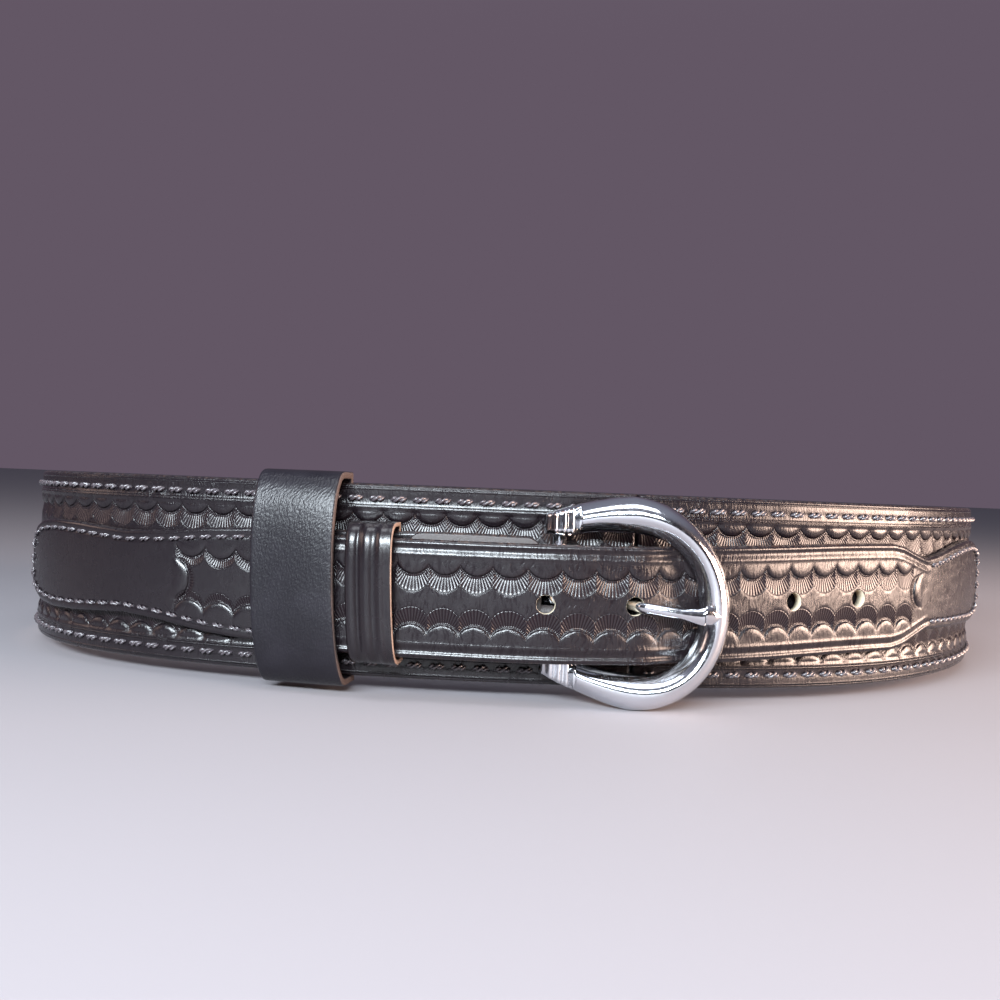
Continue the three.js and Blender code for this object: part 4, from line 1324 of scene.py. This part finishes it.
@dataclass
class TongueStrap:
    """The tongue: a tab sewn at the right, tooled rows, and five punched holes."""

    thickness: float = SIZES.strap_thickness
    half: float = SIZES.strap_half
    start: float = SIZES.tip_at
    end: float = SIZES.tongue_reach
    row_end: float = 96.0
    tab_inset: float = 2.2
    stitch_pitch: float = 3.4

    def relief(self, at: np.ndarray, across: np.ndarray, half: np.ndarray) -> np.ndarray:
        """Rolled border and rows of shells, and the tab's sewn channel."""
        inset = np.minimum(half - np.abs(across), self.end - at)
        on_tab = smooth(at, 101.0, 104.0)
        border = (read_table(TONGUE_BORDER, inset) * (1 - on_tab)
                  + read_table(SEWN_BORDER, inset) * on_tab)
        fade = smooth(at, self.row_end - 1.0, self.row_end)
        rows = TONGUE_STAMP.row(at, across, self.half) * (1 - fade) + TONGUE_END.relief(at, across)
        crown = 0.12 * (1 - (np.abs(across) / self.half) ** 2)
        return border + rows + crown

    def build(self, leather: bpy.types.Material, flesh: bpy.types.Material,
              thread: bpy.types.Material) -> list[bpy.types.Object]:
        """Builds the strap with its holes, and the tab's stitches."""
        at = stretch((self.start, self.start + 3, 0.3), (self.start + 3, -35.5, 1.2),
                     (-35.5, self.end - 2, 0.27), (self.end - 2, self.end, 0.12))
        thickness = self.thickness * blunt(at, self.start, self.end, 0.7)
        run = lay_overlay(at, LAYOUT.tongue_lift, thickness, LAYOUT.tongue_centre, LAYOUT.tongue_half(at))
        run.marks = at - read_table(TONGUE_DRIFT, at, blur=2.0)
        across = graded(((0.8, 0.28), (3.9, 0.36), (11.6, 0.8)), self.half)
        part = run.skin(across, self.half, self.relief)
        strap = part.to_object("tongue_strap_leather", [leather, flesh])
        cut_with(strap, [self._punch(index) for index in range(SIZES.hole_count)], "DIFFERENCE")
        self._bare_holes(strap.data)
        return [strap, self._stitches(thread)]

    def _hole_axis(self, index: int) -> tuple[Vector, Vector]:
        """Middle and direction of a hole."""
        at = np.array([SIZES.first_hole_at + index * SIZES.hole_pitch])
        lift = LAYOUT.tongue_lift(at) + self.thickness / 2
        inner, outer = (Vector(RING.lay(at, lift + step, LAYOUT.tongue_centre(at))[0]) for step in (0, 1))
        return inner, (outer - inner).normalized()

    def _punch(self, index: int) -> bpy.types.Object:
        """A round punch through the strap."""
        middle, axis = self._hole_axis(index)
        turn = np.linspace(0, 2 * math.pi, 40, endpoint=False)
        radius = SIZES.hole_diameter / 2
        ring = np.stack([radius * np.cos(turn), radius * np.sin(turn), 0 * turn], axis=-1)
        ends = np.vstack([ring + [0, 0, side * 2 * self.thickness] for side in (-1, 1)]) * MM
        place = Matrix.Translation(middle) @ axis.to_track_quat("Z", "Y").to_matrix().to_4x4()
        points = np.array([place @ Vector(point) for point in ends])
        return Part(points, tube_faces(2, 40)).to_object(f"punch_{index}", [])

    def _bare_holes(self, mesh: bpy.types.Mesh) -> None:
        """Marks the holes' walls as raw leather."""
        points = np.empty(len(mesh.vertices) * 3)
        mesh.vertices.foreach_get("co", points)
        points = points.reshape(-1, 3)
        raw = np.zeros(len(points))
        for index in range(SIZES.hole_count):
            middle, axis = (np.array(part) for part in self._hole_axis(index))
            away = points - middle
            away -= np.outer(away @ axis, axis)
            raw[np.linalg.norm(away, axis=1) < (SIZES.hole_diameter / 2 + 0.02) * MM] = 1
        mesh.attributes[RAW_EDGE].data.foreach_set("value", raw.astype(np.float32))

    def _stitches(self, thread: bpy.types.Material) -> bpy.types.Object:
        """Sews round the tab."""
        place = np.linspace(self.end - SIZES.tongue_tab * 0.95, self.end - self.tab_inset, 200)
        half = LAYOUT.tongue_half(place + 0.0) - self.tab_inset
        route_at = np.concatenate([place, place[::-1]])
        route_height = np.concatenate([LAYOUT.tongue_centre(place) - half,
                                       (LAYOUT.tongue_centre(place) + half)[::-1]])
        run = np.concatenate([[0], np.cumsum(np.hypot(np.diff(route_at), np.diff(route_height)))])
        marks = holes_along(0, run[-1], self.stitch_pitch)
        at = np.interp(marks, run, route_at)
        height = np.interp(marks, run, route_height)
        lift = LAYOUT.tongue_lift(at) + self.thickness + 0.02
        return Stitching(radius=0.55).sew(at, lift, height).to_object("tongue_strap_stitches", [thread])


@dataclass
class BuckleStrap:
    """The buckle strap: a tab, a tooled run under the keepers, and a fold round the heel bar."""

    thickness: float = SIZES.strap_thickness
    fold_thickness: float = SIZES.fold_thickness
    half: float = SIZES.strap_half
    start: float = -SIZES.buckle_reach
    tab_inset: float = 2.2
    stitch_pitch: float = 4.2

    def relief(self, at: np.ndarray, across: np.ndarray, half: np.ndarray) -> np.ndarray:
        """Sewn channel, rows of shells, and nothing on the fold."""
        inset = np.minimum(half - np.abs(across), at - self.start)
        shown = 1 - smooth(at, -36.0, -34.0)
        rows = (BUCKLE_STAMP.row(at, across, self.half) * smooth(at, -90.6, -90.1)
                + BUCKLE_END.relief(at, across))
        return (read_table(SEWN_BORDER, inset) + rows) * shown

    def build(self, leather: bpy.types.Material, flesh: bpy.types.Material,
              thread: bpy.types.Material) -> list[bpy.types.Object]:
        """Builds the strap with the slot for the prong, and its stitches."""
        lower = stretch((self.start, self.start + 2, 0.12), (self.start + 2, SIZES.wide_start + 2, 0.3),
                        (SIZES.wide_start + 2, 0.0, 0.8))
        turn = np.linspace(0, math.pi, 26)[1:-1]
        upper = stretch((-SIZES.fold_length, -SIZES.fold_length + 2, 0.15),
                        (-SIZES.fold_length + 2, 0.0, 0.8))[::-1]
        first = lay_overlay(lower, LAYOUT.buckle_lift,
                            LAYOUT.buckle_thickness(lower) * blunt(lower, self.start, 99.0, 0.7),
                            LAYOUT.buckle_centre, LAYOUT.buckle_half(lower))
        radius = LAYOUT.fold_radius
        neck = np.full(len(turn), SIZES.fold_width / 2)
        fold_lift = LAYOUT.fold_lift(upper) + self.fold_thickness / 2
        slope = (LAYOUT.fold_lift(upper + 0.2) - LAYOUT.fold_lift(upper - 0.2)) / 0.4
        run = Run(
            at=np.concatenate([lower, radius * np.sin(turn), upper]),
            lift=np.concatenate([first.lift, SIZES.bar_lift - radius * np.cos(turn), fold_lift]),
            thickness=np.concatenate([first.thickness, 0 * turn + self.fold_thickness,
                                      self.fold_thickness * blunt(upper, -SIZES.fold_length, 99.0, 0.6)]),
            centre=LAYOUT.buckle_centre(np.concatenate([lower, radius * np.sin(turn), upper])),
            half=np.concatenate([first.half, neck, LAYOUT.fold_half(upper)]),
            slant=np.concatenate([first.slant, turn, math.pi + np.arctan(slope)]),
        )
        across = graded(((0.8, 0.36), (11.5, 0.8)), self.half)
        strap = run.skin(across, self.half, self.relief).to_object("buckle_strap_leather", [leather, flesh])
        cut_with(strap, [self._slot()], "DIFFERENCE")
        return [strap, self._stitches(thread)]

    def _slot(self) -> bpy.types.Object:
        """The slot in the fold that the prong's loop turns in."""
        gap = SIZES.clearance
        loop = SIZES.bar_diameter / 2 + gap + SIZES.prong_loop_wall
        reach = loop + 2 * gap + self.fold_thickness / 2
        depth = LAYOUT.fold_lifts[1][1]
        half = SIZES.prong_loop / 2 + gap
        along = np.array([-reach, reach, reach, -reach] * 2) + self.fold_thickness / 2
        height = np.array([-half, -half, half, half] * 2)
        rise = np.array([-depth] * 4 + [depth] * 4)
        points = RING.lay_buckle(along, rise, height)
        return Part(points, tube_faces(2, 4)).to_object("slot", [])

    def _stitches(self, thread: bpy.types.Material) -> bpy.types.Object:
        """Sews round the tab and along both edges to the wide keeper."""
        place = np.linspace(self.start + self.tab_inset, SIZES.wide_start + 4, 500)[::-1]
        half = LAYOUT.buckle_half(place) - self.tab_inset
        centre = LAYOUT.buckle_centre(place)
        route_at = np.concatenate([place, place[::-1]])
        route_height = np.concatenate([centre - half, (centre + half)[::-1]])
        run = np.concatenate([[0], np.cumsum(np.hypot(np.diff(route_at), np.diff(route_height)))])
        marks = holes_along(0, run[-1], self.stitch_pitch)
        at = np.interp(marks, run, route_at)
        lift = LAYOUT.buckle_lift(at) + LAYOUT.buckle_thickness(at) + 0.02
        sewn = Stitching(radius=0.47).sew(at, lift, np.interp(marks, run, route_height))
        return sewn.to_object("buckle_strap_stitches", [thread])


@dataclass
class Keeper:
    """A band of leather round the straps: a flat back and a crowned front."""

    name: str
    start: float
    width: float
    wall: float
    crown: float
    edge_round: float = 0.7
    arch_points: int = 150
    rows: int = 40

    def bounds_at(self, at: np.ndarray) -> tuple[np.ndarray, ...]:
        """Inner face of the band: its back's lift, where the front starts, and both heights."""
        raise NotImplementedError

    def rise_at(self, share: np.ndarray) -> np.ndarray:
        """Extra rise of the outer face across the band's width."""
        return np.zeros_like(share)

    def _arch(self, half: float, rise: float, middle: float, foot: float) -> np.ndarray:
        """Evenly spaced points of a crowned front, from its lower to its upper end."""
        turn = np.linspace(0, math.pi, 1500)
        side = -np.sign(np.cos(turn)) * np.abs(np.cos(turn)) ** (2 / self.crown)
        points = np.column_stack([middle + half * side, foot + rise * np.sin(turn) ** (2 / self.crown)])
        run = np.concatenate([[0], np.cumsum(np.linalg.norm(np.diff(points, axis=0), axis=1))])
        marks = np.linspace(0, run[-1], self.arch_points)
        return np.column_stack([np.interp(marks, run, points[:, axis]) for axis in (0, 1)])

    def build(self, leather: bpy.types.Material) -> list[bpy.types.Object]:
        """Builds the band as one closed loop of rounded sections."""
        end = self.start + self.width
        soft = self.edge_round
        face = np.linspace(self.start + soft, end - soft, self.rows)
        turn = np.radians([22.5, 45, 67.5, 90])
        at = np.concatenate([face, end - soft + soft * np.sin(turn), end - soft + soft * np.sin(turn[::-1]),
                             np.linspace(end - soft, self.start + soft, 6),
                             self.start + soft - soft * np.sin(turn),
                             self.start + soft - soft * np.sin(turn[::-1])])
        bend = soft * (1 - np.cos(turn))
        out = np.concatenate([self.wall + 0 * face, self.wall - bend, bend[::-1], np.zeros(6),
                              bend, self.wall - bend[::-1]])
        crest = np.where(out > self.wall / 2, self.rise_at((at - self.start) / self.width), 0)
        raw = np.where(np.abs(at - end) < 0.32 * soft, 1.0, 0.0)
        columns = []
        for place, step, bump in zip(at, out, crest):
            back, foot, low, high, lifts = self.bounds_at(np.array(place))
            middle, half = (low + high) / 2, (high - low) / 2
            span = np.max([(lift - foot) / max(1 - abs((spot - middle) / half) ** self.crown, 1e-3)
                           ** (1 / self.crown) for spot, lift in lifts])
            arch = self._arch(half + step, span + step + bump, middle, foot)
            floor = back - step
            legs = np.linspace(arch[-1], [high + step, floor], 5)[1:]
            rear = np.linspace([high + step, floor], [low - step, floor], 40)[1:]
            rise = np.linspace([low - step, floor], arch[0], 5)[1:-1]
            columns.append(np.vstack([arch, legs, rear, rise]))
        grid = np.stack(columns, axis=1)
        count, loop = grid.shape[:2]
        middle = SIZES.belt_width / 2
        from_middle = grid[..., 0] - middle
        skew = SIZES.keeper_skew * from_middle
        skew += SIZES.keeper_bow * np.clip(1 - (from_middle / middle) ** 2, 0, 1)
        points = RING.lay(at[None, :] - skew, grid[..., 1], grid[..., 0])
        uv = np.column_stack([np.tile(at, count), grid[..., 0].ravel()])
        band = Part(points, tube_faces(count, loop, closed=True), uv, np.tile(raw, count))
        return [band.to_object(self.name, [leather])]


@dataclass
class WideKeeper(Keeper):
    """The plain keeper round the base strap and both straps on it."""

    def bounds_at(self, at: np.ndarray) -> tuple[np.ndarray, ...]:
        """Inner face, from behind the base strap to over the tongue."""
        s = SIZES
        lift = LAYOUT.tongue_lift(at) + s.strap_thickness + s.clearance
        edges = [(LAYOUT.tongue_centre(at) + side * (s.strap_half - 0.5), lift) for side in (-1, 1)]
        return (-s.base_thickness - s.clearance, s.clearance, -s.clearance,
                s.belt_width + s.wide_spare, edges)


@dataclass
class RibbedKeeper(Keeper):
    """The narrow keeper with three ridges, round the two straps only."""

    ridge: float = SIZES.rib_height
    profile: Table = (
        (0, 0.1), (0.03, 0.55), (0.075, 0.87), (0.125, 1), (0.175, 0.9), (0.225, 0.6), (0.27, 0.14),
        (0.3, 0.14), (0.34, 0.45), (0.39, 0.82), (0.45, 1), (0.51, 0.84), (0.56, 0.48), (0.6, 0.12),
        (0.67, 0.12), (0.71, 0.42), (0.76, 0.68), (0.81, 0.48), (0.86, 0.2), (1, 0.2),
    )

    def rise_at(self, share: np.ndarray) -> np.ndarray:
        """The three ridges."""
        return self.ridge * read_table(self.profile, share, blur=0.02)

    def bounds_at(self, at: np.ndarray) -> tuple[np.ndarray, ...]:
        """Inner face, round the two straps."""
        s = SIZES
        back = LAYOUT.buckle_lift(at) - s.clearance
        tongue, buckle = LAYOUT.tongue_centre(at), LAYOUT.buckle_centre(at)
        lift = LAYOUT.tongue_lift(at) + s.strap_thickness + s.clearance
        edges = [(tongue + side * (s.strap_half - 0.5), lift) for side in (-1, 1)]
        return (back, back + s.clearance, min(tongue, buckle) - s.strap_half - s.clearance - s.ribbed_spare,
                max(tongue, buckle) + s.strap_half + s.clearance + s.ribbed_spare, edges)


@dataclass
class BuckleFrame:
    """The horseshoe frame with its two fluted feet and the heel bar."""

    reach: float = SIZES.frame_reach
    half: float = SIZES.frame_height / 2
    apex: float = SIZES.apex_at
    inner_power: float = 2.4
    depth: float = SIZES.band_depth
    outer_side: Table = ((-3.4, 17.9), (0, 19.45), (3.5, 20.7), (7.1, 21.9), (11.8, 23.2), (16, 23.9))
    inner_side: Table = ((-2.7, 13.4), (2.6, 13.4), (5.0, 14.3), (8.0, 15.0), (12, 15.5), (16, 15.65))
    back: Table = ((-2.7, -1.6), (1.0, -1.6), (7, 0.4), (14, 2.6), (23, 4.4), (38.5, 4.7))
    shape: Table = (
        (0, 0), (0, 0.14), (0.07, 0.36), (0.16, 0.6), (0.26, 0.8), (0.31, 0.88), (0.38, 0.96),
        (0.48, 1), (0.6, 0.97), (0.7, 0.88), (0.8, 0.74), (0.88, 0.56), (0.95, 0.32), (1, 0.1), (1, 0),
    )
    foot_start: float = -3.4
    foot_end: float = 4.4
    flute_pitch: float = 1.95
    flute_depth: float = 0.42

    def _stations(self) -> tuple[np.ndarray, ...]:
        """Inner and outer points of the upper half, from its foot to the rim."""
        straight = stretch((self.foot_start, self.foot_end + 0.6, 0.14),
                           (self.foot_end + 0.6, self.apex, 0.45))[:-1]
        turn = np.linspace(math.pi / 2, 0, 46)
        cos, sin = np.clip(np.cos(turn), 0, 1), np.sin(turn)
        power = 2 / self.inner_power
        rim_inner = self.reach - SIZES.rim_width - self.apex
        inner = np.vstack([
            np.column_stack([straight, read_table(self.inner_side, straight, blur=0.6)]),
            np.column_stack([self.apex + rim_inner * cos**power, self.inner_side[-1][1] * sin**power])])
        outer = np.vstack([
            np.column_stack([straight, read_table(self.outer_side, straight, blur=1.0)]),
            np.column_stack([self.apex + (self.reach - self.apex) * cos, self.half * sin])])
        return inner, outer

    def _rise(self, along: np.ndarray, share: np.ndarray, top: np.ndarray) -> np.ndarray:
        """Rise of the band's upper face over the heel bar."""
        s = SIZES
        band = self.depth * top
        middle = (self.foot_start + self.foot_end) / 2
        reach = (self.foot_end - self.foot_start) / 2
        barrel = np.sqrt(np.clip(1 - (np.abs(along - middle) / reach) ** 2.6, 0, 1))
        flutes = self.flute_depth * (np.cos(2 * math.pi * (along - middle) / self.flute_pitch) - 1)
        ends = smooth(share, -0.02, 0.1) * (1 - smooth(share, 0.93, 1.02))
        foot = (s.foot_depth + flutes) * barrel * (0.35 + 0.65 * ends) * (top > 0)
        return np.where(along < self.foot_end, np.maximum(foot, 0.0), band)

    def build(self, chrome: bpy.types.Material) -> list[bpy.types.Object]:
        """Builds the frame, and its heel bar as a separate piece."""
        inner, outer = self._stations()
        inner = np.vstack([inner * [1, -1], inner[-2::-1]])
        outer = np.vstack([outer * [1, -1], outer[-2::-1]])
        share, top = np.array(self.shape).T
        spot = inner[:, None, :] + (outer - inner)[:, None, :] * share[None, :, None]
        along = spot[..., 0]
        back = read_table(self.back, along, blur=1.5)
        rise = back + self._rise(along, share[None, :], top[None, :])
        under = np.linspace(0.94, 0.06, 6)
        below = inner[:, None, :] + (outer - inner)[:, None, :] * under[None, :, None]
        floor = read_table(self.back, below[..., 0], blur=1.5)
        loops = np.stack([
            np.hstack([along, below[..., 0]]), np.hstack([rise, floor]),
            np.hstack([spot[..., 1], below[..., 1]])], axis=-1)
        columns, loop = loops.shape[:2]
        points = RING.lay_buckle(loops[..., 0], loops[..., 1], loops[..., 2])
        frame_part = Part(points, tube_faces(columns, loop))
        return [frame_part.to_object("buckle_frame_band", [chrome]), self._bar(chrome)]

    def _bar(self, chrome: bpy.types.Material) -> bpy.types.Object:
        """The heel bar between the feet."""
        turn = np.linspace(0, 2 * math.pi, 32, endpoint=False)
        radius = SIZES.bar_diameter / 2
        height = np.repeat([-1, 1], 32) * (SIZES.foot_inner + 0.6)
        points = RING.lay_buckle(np.tile(radius * np.cos(turn), 2), np.tile(radius * np.sin(turn), 2), height)
        return Part(points, tube_faces(2, 32)).to_object("buckle_heel_bar", [chrome])


@dataclass
class BuckleProng:
    """The prong: a loop on the heel bar, a shaft up through a hole and a spear tip on the rim."""

    radius: float = SIZES.prong_diameter / 2
    tip: float = SIZES.frame_reach - SIZES.prong_tip_inset
    sides: int = 20

    def _route(self) -> np.ndarray:
        """Centre line as along, rise and height, from the bar to the tip."""
        s = SIZES
        loop = s.bar_diameter / 2 + s.clearance + s.prong_loop_wall / 2
        hole = np.array(s.prong_hole_at)
        hole_along, inside = RING.seen_from_buckle(s.prong_hole_at, float(LAYOUT.tongue_lift(hole)))
        slide = s.frame_drop * hole_along / s.frame_reach
        drop = float(LAYOUT.tongue_centre(hole)) - s.buckle_height + slide
        outside = inside + s.strap_thickness
        rest = 4.6 + s.band_depth + s.clearance + self.radius * 0.8
        points = np.array([
            (loop, 0, 0), (hole_along * 0.5, inside * 0.1, drop * 0.5),
            (hole_along - 2.5 * self.radius, inside * 0.28, drop * 0.9),
            (hole_along - 0.15 * self.radius, (inside + outside) / 2, drop),
            (hole_along + 2.2 * self.radius, outside + 2 * self.radius, drop * 0.88),
            (s.frame_reach - s.rim_width, rest - self.radius * 0.2, drop - s.prong_drop * 0.7),
            (self.tip - 3.5, rest - 0.1, -s.prong_drop * 0.9),
            (self.tip, rest - 0.7, -s.prong_drop),
        ])
        gaps = np.linalg.norm(np.diff(points, axis=0), axis=1)
        marks = np.concatenate([[0], np.cumsum(np.sqrt(gaps))])
        dense = np.linspace(0, marks[-1], 120)
        tangent = np.gradient(points, marks, axis=0)
        step = np.clip(np.searchsorted(marks, dense, side="right") - 1, 0, len(marks) - 2)
        span = marks[step + 1] - marks[step]
        t = ((dense - marks[step]) / span)[:, None]
        span = span[:, None]
        return ((2 * t**3 - 3 * t**2 + 1) * points[step] + (t**3 - 2 * t**2 + t) * span * tangent[step]
                + (3 * t**2 - 2 * t**3) * points[step + 1] + (t**3 - t**2) * span * tangent[step + 1])

    def build(self, chrome: bpy.types.Material) -> list[bpy.types.Object]:
        """Builds the shaft with its tip, and the loop."""
        route = self._route()
        ahead = np.gradient(route, axis=0)
        ahead /= np.linalg.norm(ahead, axis=1)[:, None]
        side = np.array([0.0, 0.0, 1.0])
        out = np.cross(side, ahead)
        out *= np.sign(out[:, 1:2] + 1e-9)
        out /= np.linalg.norm(out, axis=1)[:, None]
        along = route[:, 0]
        spear: Table = ((self.tip - 8.5, 0), (self.tip - 3.0, 1), (self.tip - 2.3, 1), (self.tip - 0.8, 0.5),
                        (self.tip, 0.04))
        wide = read_table(spear, along)
        slim = self.radius * (1 - 0.55 * smooth(along, self.tip - 2.5, self.tip))
        width = 1.12 * slim * (1 - wide) + SIZES.prong_tip_width / 2 * wide
        near_tip = 1 - smooth(along, self.tip - 1.6, self.tip + 0.3)
        spear_width = SIZES.prong_tip_width / 2 * wide + 0.12
        width = np.where(along > self.tip - 2.4, np.minimum(width, spear_width), width)
        depth = self.radius + (SIZES.prong_tip_depth / 2 - self.radius) * wide
        depth *= 0.3 + 0.7 * near_tip
        turn = np.linspace(0, 2 * math.pi, self.sides, endpoint=False)
        flat = smooth(along, self.tip - 9, self.tip - 4)[:, None]
        cos, sin = np.cos(turn)[None, :], np.sin(turn)[None, :]
        facet = np.clip(1.25 * (1 - np.abs(cos) ** 1.6), 0, 0.92) * np.sign(sin)
        up = depth[:, None] * (sin * (1 - flat) + facet * flat)
        points = (route[:, None, :] + out[:, None, :] * up[..., None]
                  + side[None, None, :] * (width[:, None] * cos)[..., None])
        laid = RING.lay_buckle(points[..., 0], points[..., 1], points[..., 2])
        shaft = Part(laid, tube_faces(len(route), self.sides))
        return [shaft.to_object("buckle_prong_shaft", [chrome]), self._loop(chrome)]

    def _loop(self, chrome: bpy.types.Material) -> bpy.types.Object:
        """The loop round the heel bar."""
        s = SIZES
        inner = s.bar_diameter / 2 + s.clearance
        outer = inner + s.prong_loop_wall
        half = s.prong_loop / 2
        section = np.array([(inner, -half), (outer - 0.35, -half), (outer, -half + 0.35),
                            (outer, half - 0.35), (outer - 0.35, half), (inner, half)])
        turn = np.linspace(0, 2 * math.pi, 48, endpoint=False)
        along = section[None, :, 0] * np.cos(turn)[:, None]
        rise = section[None, :, 0] * np.sin(turn)[:, None]
        height = section[None, :, 1] + 0 * along
        points = RING.lay_buckle(along, rise, height)
        return Part(points, tube_faces(48, 6, closed=True)).to_object("buckle_prong_loop", [chrome])


@dataclass
class Studio:
    """Camera, floor, world and lights."""

    eye: tuple[float, float, float] = (0.0, -250.0, 44.5)
    aim_right: float = -7.0
    aim_down: float = 11.0
    roll: float = 0.0407
    focal: float = 1094.5
    aim_height: float = 0.02
    floor_reach: float = 3.0
    floor_tone: tuple[float, float, float, float] = (0.21, 0.2, 0.215, 1)

    def place_camera(self) -> None:
        """Puts the camera where the photograph was taken from."""
        camera = bpy.data.objects.new("camera", bpy.data.cameras.new("camera"))
        bpy.context.scene.collection.objects.link(camera)
        bpy.context.scene.camera = camera
        camera.data.sensor_width = 36
        camera.data.lens = 36 * self.focal / 1000
        camera.data.clip_start = 0.01
        x, y, z = self.eye
        ahead = (x + self.aim_right / self.focal, y + 1.0, z - self.aim_down / self.focal)
        spots = RING.to_frame(np.array([self.eye, ahead]))
        look = Vector(spots[1] - spots[0]).normalized()
        turn = look.to_track_quat("-Z", "Y").to_matrix() @ Matrix.Rotation(self.roll, 3, "Z")
        camera.matrix_world = Matrix.Translation(Vector(spots[0])) @ turn.to_4x4()

    def lay_floor(self) -> None:
        """Lays the pale floor."""
        material = bpy.data.materials.new("studio_floor")
        material.use_nodes = True
        shader = material.node_tree.nodes["Principled BSDF"]
        shader.inputs["Base Color"].default_value = self.floor_tone
        shader.inputs["Roughness"].default_value = 0.7
        mesh = bpy.data.meshes.new("studio_floor")
        reach = self.floor_reach
        corners = [(-reach, -reach, 0), (reach, -reach, 0), (reach, reach, 0), (-reach, reach, 0)]
        mesh.from_pydata(corners, [], [(0, 1, 2, 3)])
        mesh.materials.append(material)
        floor = bpy.data.objects.new("studio_floor", mesh)
        bpy.context.scene.collection.objects.link(floor)

    def _panel(self, name: str, azimuth: float, elevation: float, distance: float, size: tuple[float, float],
               power: float, colour: tuple[float, float, float]) -> None:
        """Hangs a soft panel that faces the belt.

        Args:
            name: The light's name.
            azimuth: Degrees right of the front.
            elevation: Degrees above the floor.
            distance: Metres from the belt's middle.
            size: Width and height in metres.
            power: Watts.
            colour: Its colour.
        """
        light = bpy.data.lights.new(name, "AREA")
        light.shape = "RECTANGLE"
        light.size, light.size_y = size
        light.energy = power
        light.color = colour
        lamp = bpy.data.objects.new(name, light)
        side, up = math.radians(azimuth), math.radians(elevation)
        level = math.cos(up)
        aim = Vector((0, 0, self.aim_height))
        spot = Vector((math.sin(side) * level, -math.cos(side) * level, math.sin(up))) * distance + aim
        lamp.location = spot
        lamp.rotation_euler = (aim - spot).to_track_quat("-Z", "Y").to_euler()
        bpy.context.scene.collection.objects.link(lamp)

    def light(self) -> None:
        """Sets the soft surroundings and the panels."""
        world = bpy.data.worlds.new("studio")
        world.use_nodes = True
        wiring = Wiring(world.node_tree)
        sky = world.node_tree.nodes["Background"]
        facing = wiring.node("ShaderNodeTexCoord")
        parts = wiring.node("ShaderNodeSeparateXYZ")
        wiring.feed(parts.inputs[0], facing.outputs["Generated"])
        rear = wiring.ease(parts.outputs[1], -0.3, 0.6)
        tone = wiring.blend(rear, (0.03, 0.025, 0.036, 1), (0.125, 0.095, 0.13, 1))
        tone = wiring.blend(wiring.ease(parts.outputs[2], 0.35, 0.95), tone, (0.26, 0.27, 0.34, 1))
        wiring.feed(sky.inputs["Color"], tone)
        sky.inputs["Strength"].default_value = 1.0
        bpy.context.scene.world = world
        self._panel("overhead_panel", -8, 66, 0.7, (0.5, 0.22), 2.2, (0.9, 0.94, 1.0))
        self._panel("front_panel", -16, 23, 0.75, (0.6, 0.12), 18.0, (0.84, 0.93, 1.0))
        self._panel("right_panel", 71, 9, 0.7, (0.56, 0.3), 20.0, (1.0, 0.72, 0.58))
        self._panel("left_panel", -84, 16, 0.8, (0.25, 0.25), 0.7, (1.0, 0.72, 0.6))


def main() -> None:
    """Builds the scene."""
    logging.basicConfig(level=logging.INFO, format="%(message)s")
    studio = Studio()
    studio.lay_floor()
    studio.place_camera()
    studio.light()
    bpy.context.scene.view_settings.view_transform = "Standard"
    base_leather = TooledLeather("base_leather", SIZES.belt_width / 2, BASE_STAMP, bead_at=5.1,
                                 line_at=1.15, shade=0.35).material()
    tongue_leather = TooledLeather("tongue_leather", SIZES.strap_half, TONGUE_STAMP, row_end=95.4,
                                   end=TONGUE_END).material()
    buckle_leather = TooledLeather("buckle_strap_leather", SIZES.strap_half, BUCKLE_STAMP,
                                   row_start=-90.3, end=BUCKLE_END,
                                   crease=0.012, shade=0.2).material()
    ridged_leather = TooledLeather("ridged_leather", 60.0, crease=0.012, shade=0.15,
                                   raw=(0.2, 0.14, 0.11, 1)).material()
    grained = GrainedLeather("keeper_leather").material()
    flesh = FleshSide("flesh_side").material()
    chrome = Chrome("chrome").material()
    thread = Thread("waxed_thread").material()
    groups = {
        "base_strap": BaseStrap().build(base_leather, flesh, thread),
        "buckle_strap": BuckleStrap().build(buckle_leather, flesh, thread),
        "tongue_strap": TongueStrap().build(tongue_leather, flesh, thread),
        "wide_keeper": WideKeeper("wide_keeper_leather", SIZES.wide_start, SIZES.wide_keeper,
                                  SIZES.wide_wall, SIZES.wide_crown).build(grained),
        "ribbed_keeper": RibbedKeeper("ribbed_keeper_leather", SIZES.ribbed_start, SIZES.ribbed_keeper,
                                      SIZES.ribbed_wall, SIZES.ribbed_crown, edge_round=0.5,
                                      rows=64).build(ridged_leather),
        "buckle_frame": BuckleFrame().build(chrome),
        "buckle_prong": BuckleProng().build(chrome),
    }
    for node, pieces in groups.items():
        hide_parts(node)
        for piece in pieces:
            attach(piece, BODY)
            LOG.info("%s: %d triangles", piece.name,
                     sum(len(face.vertices) - 2 for face in piece.data.polygons))


if __name__ == "__main__":
    main()
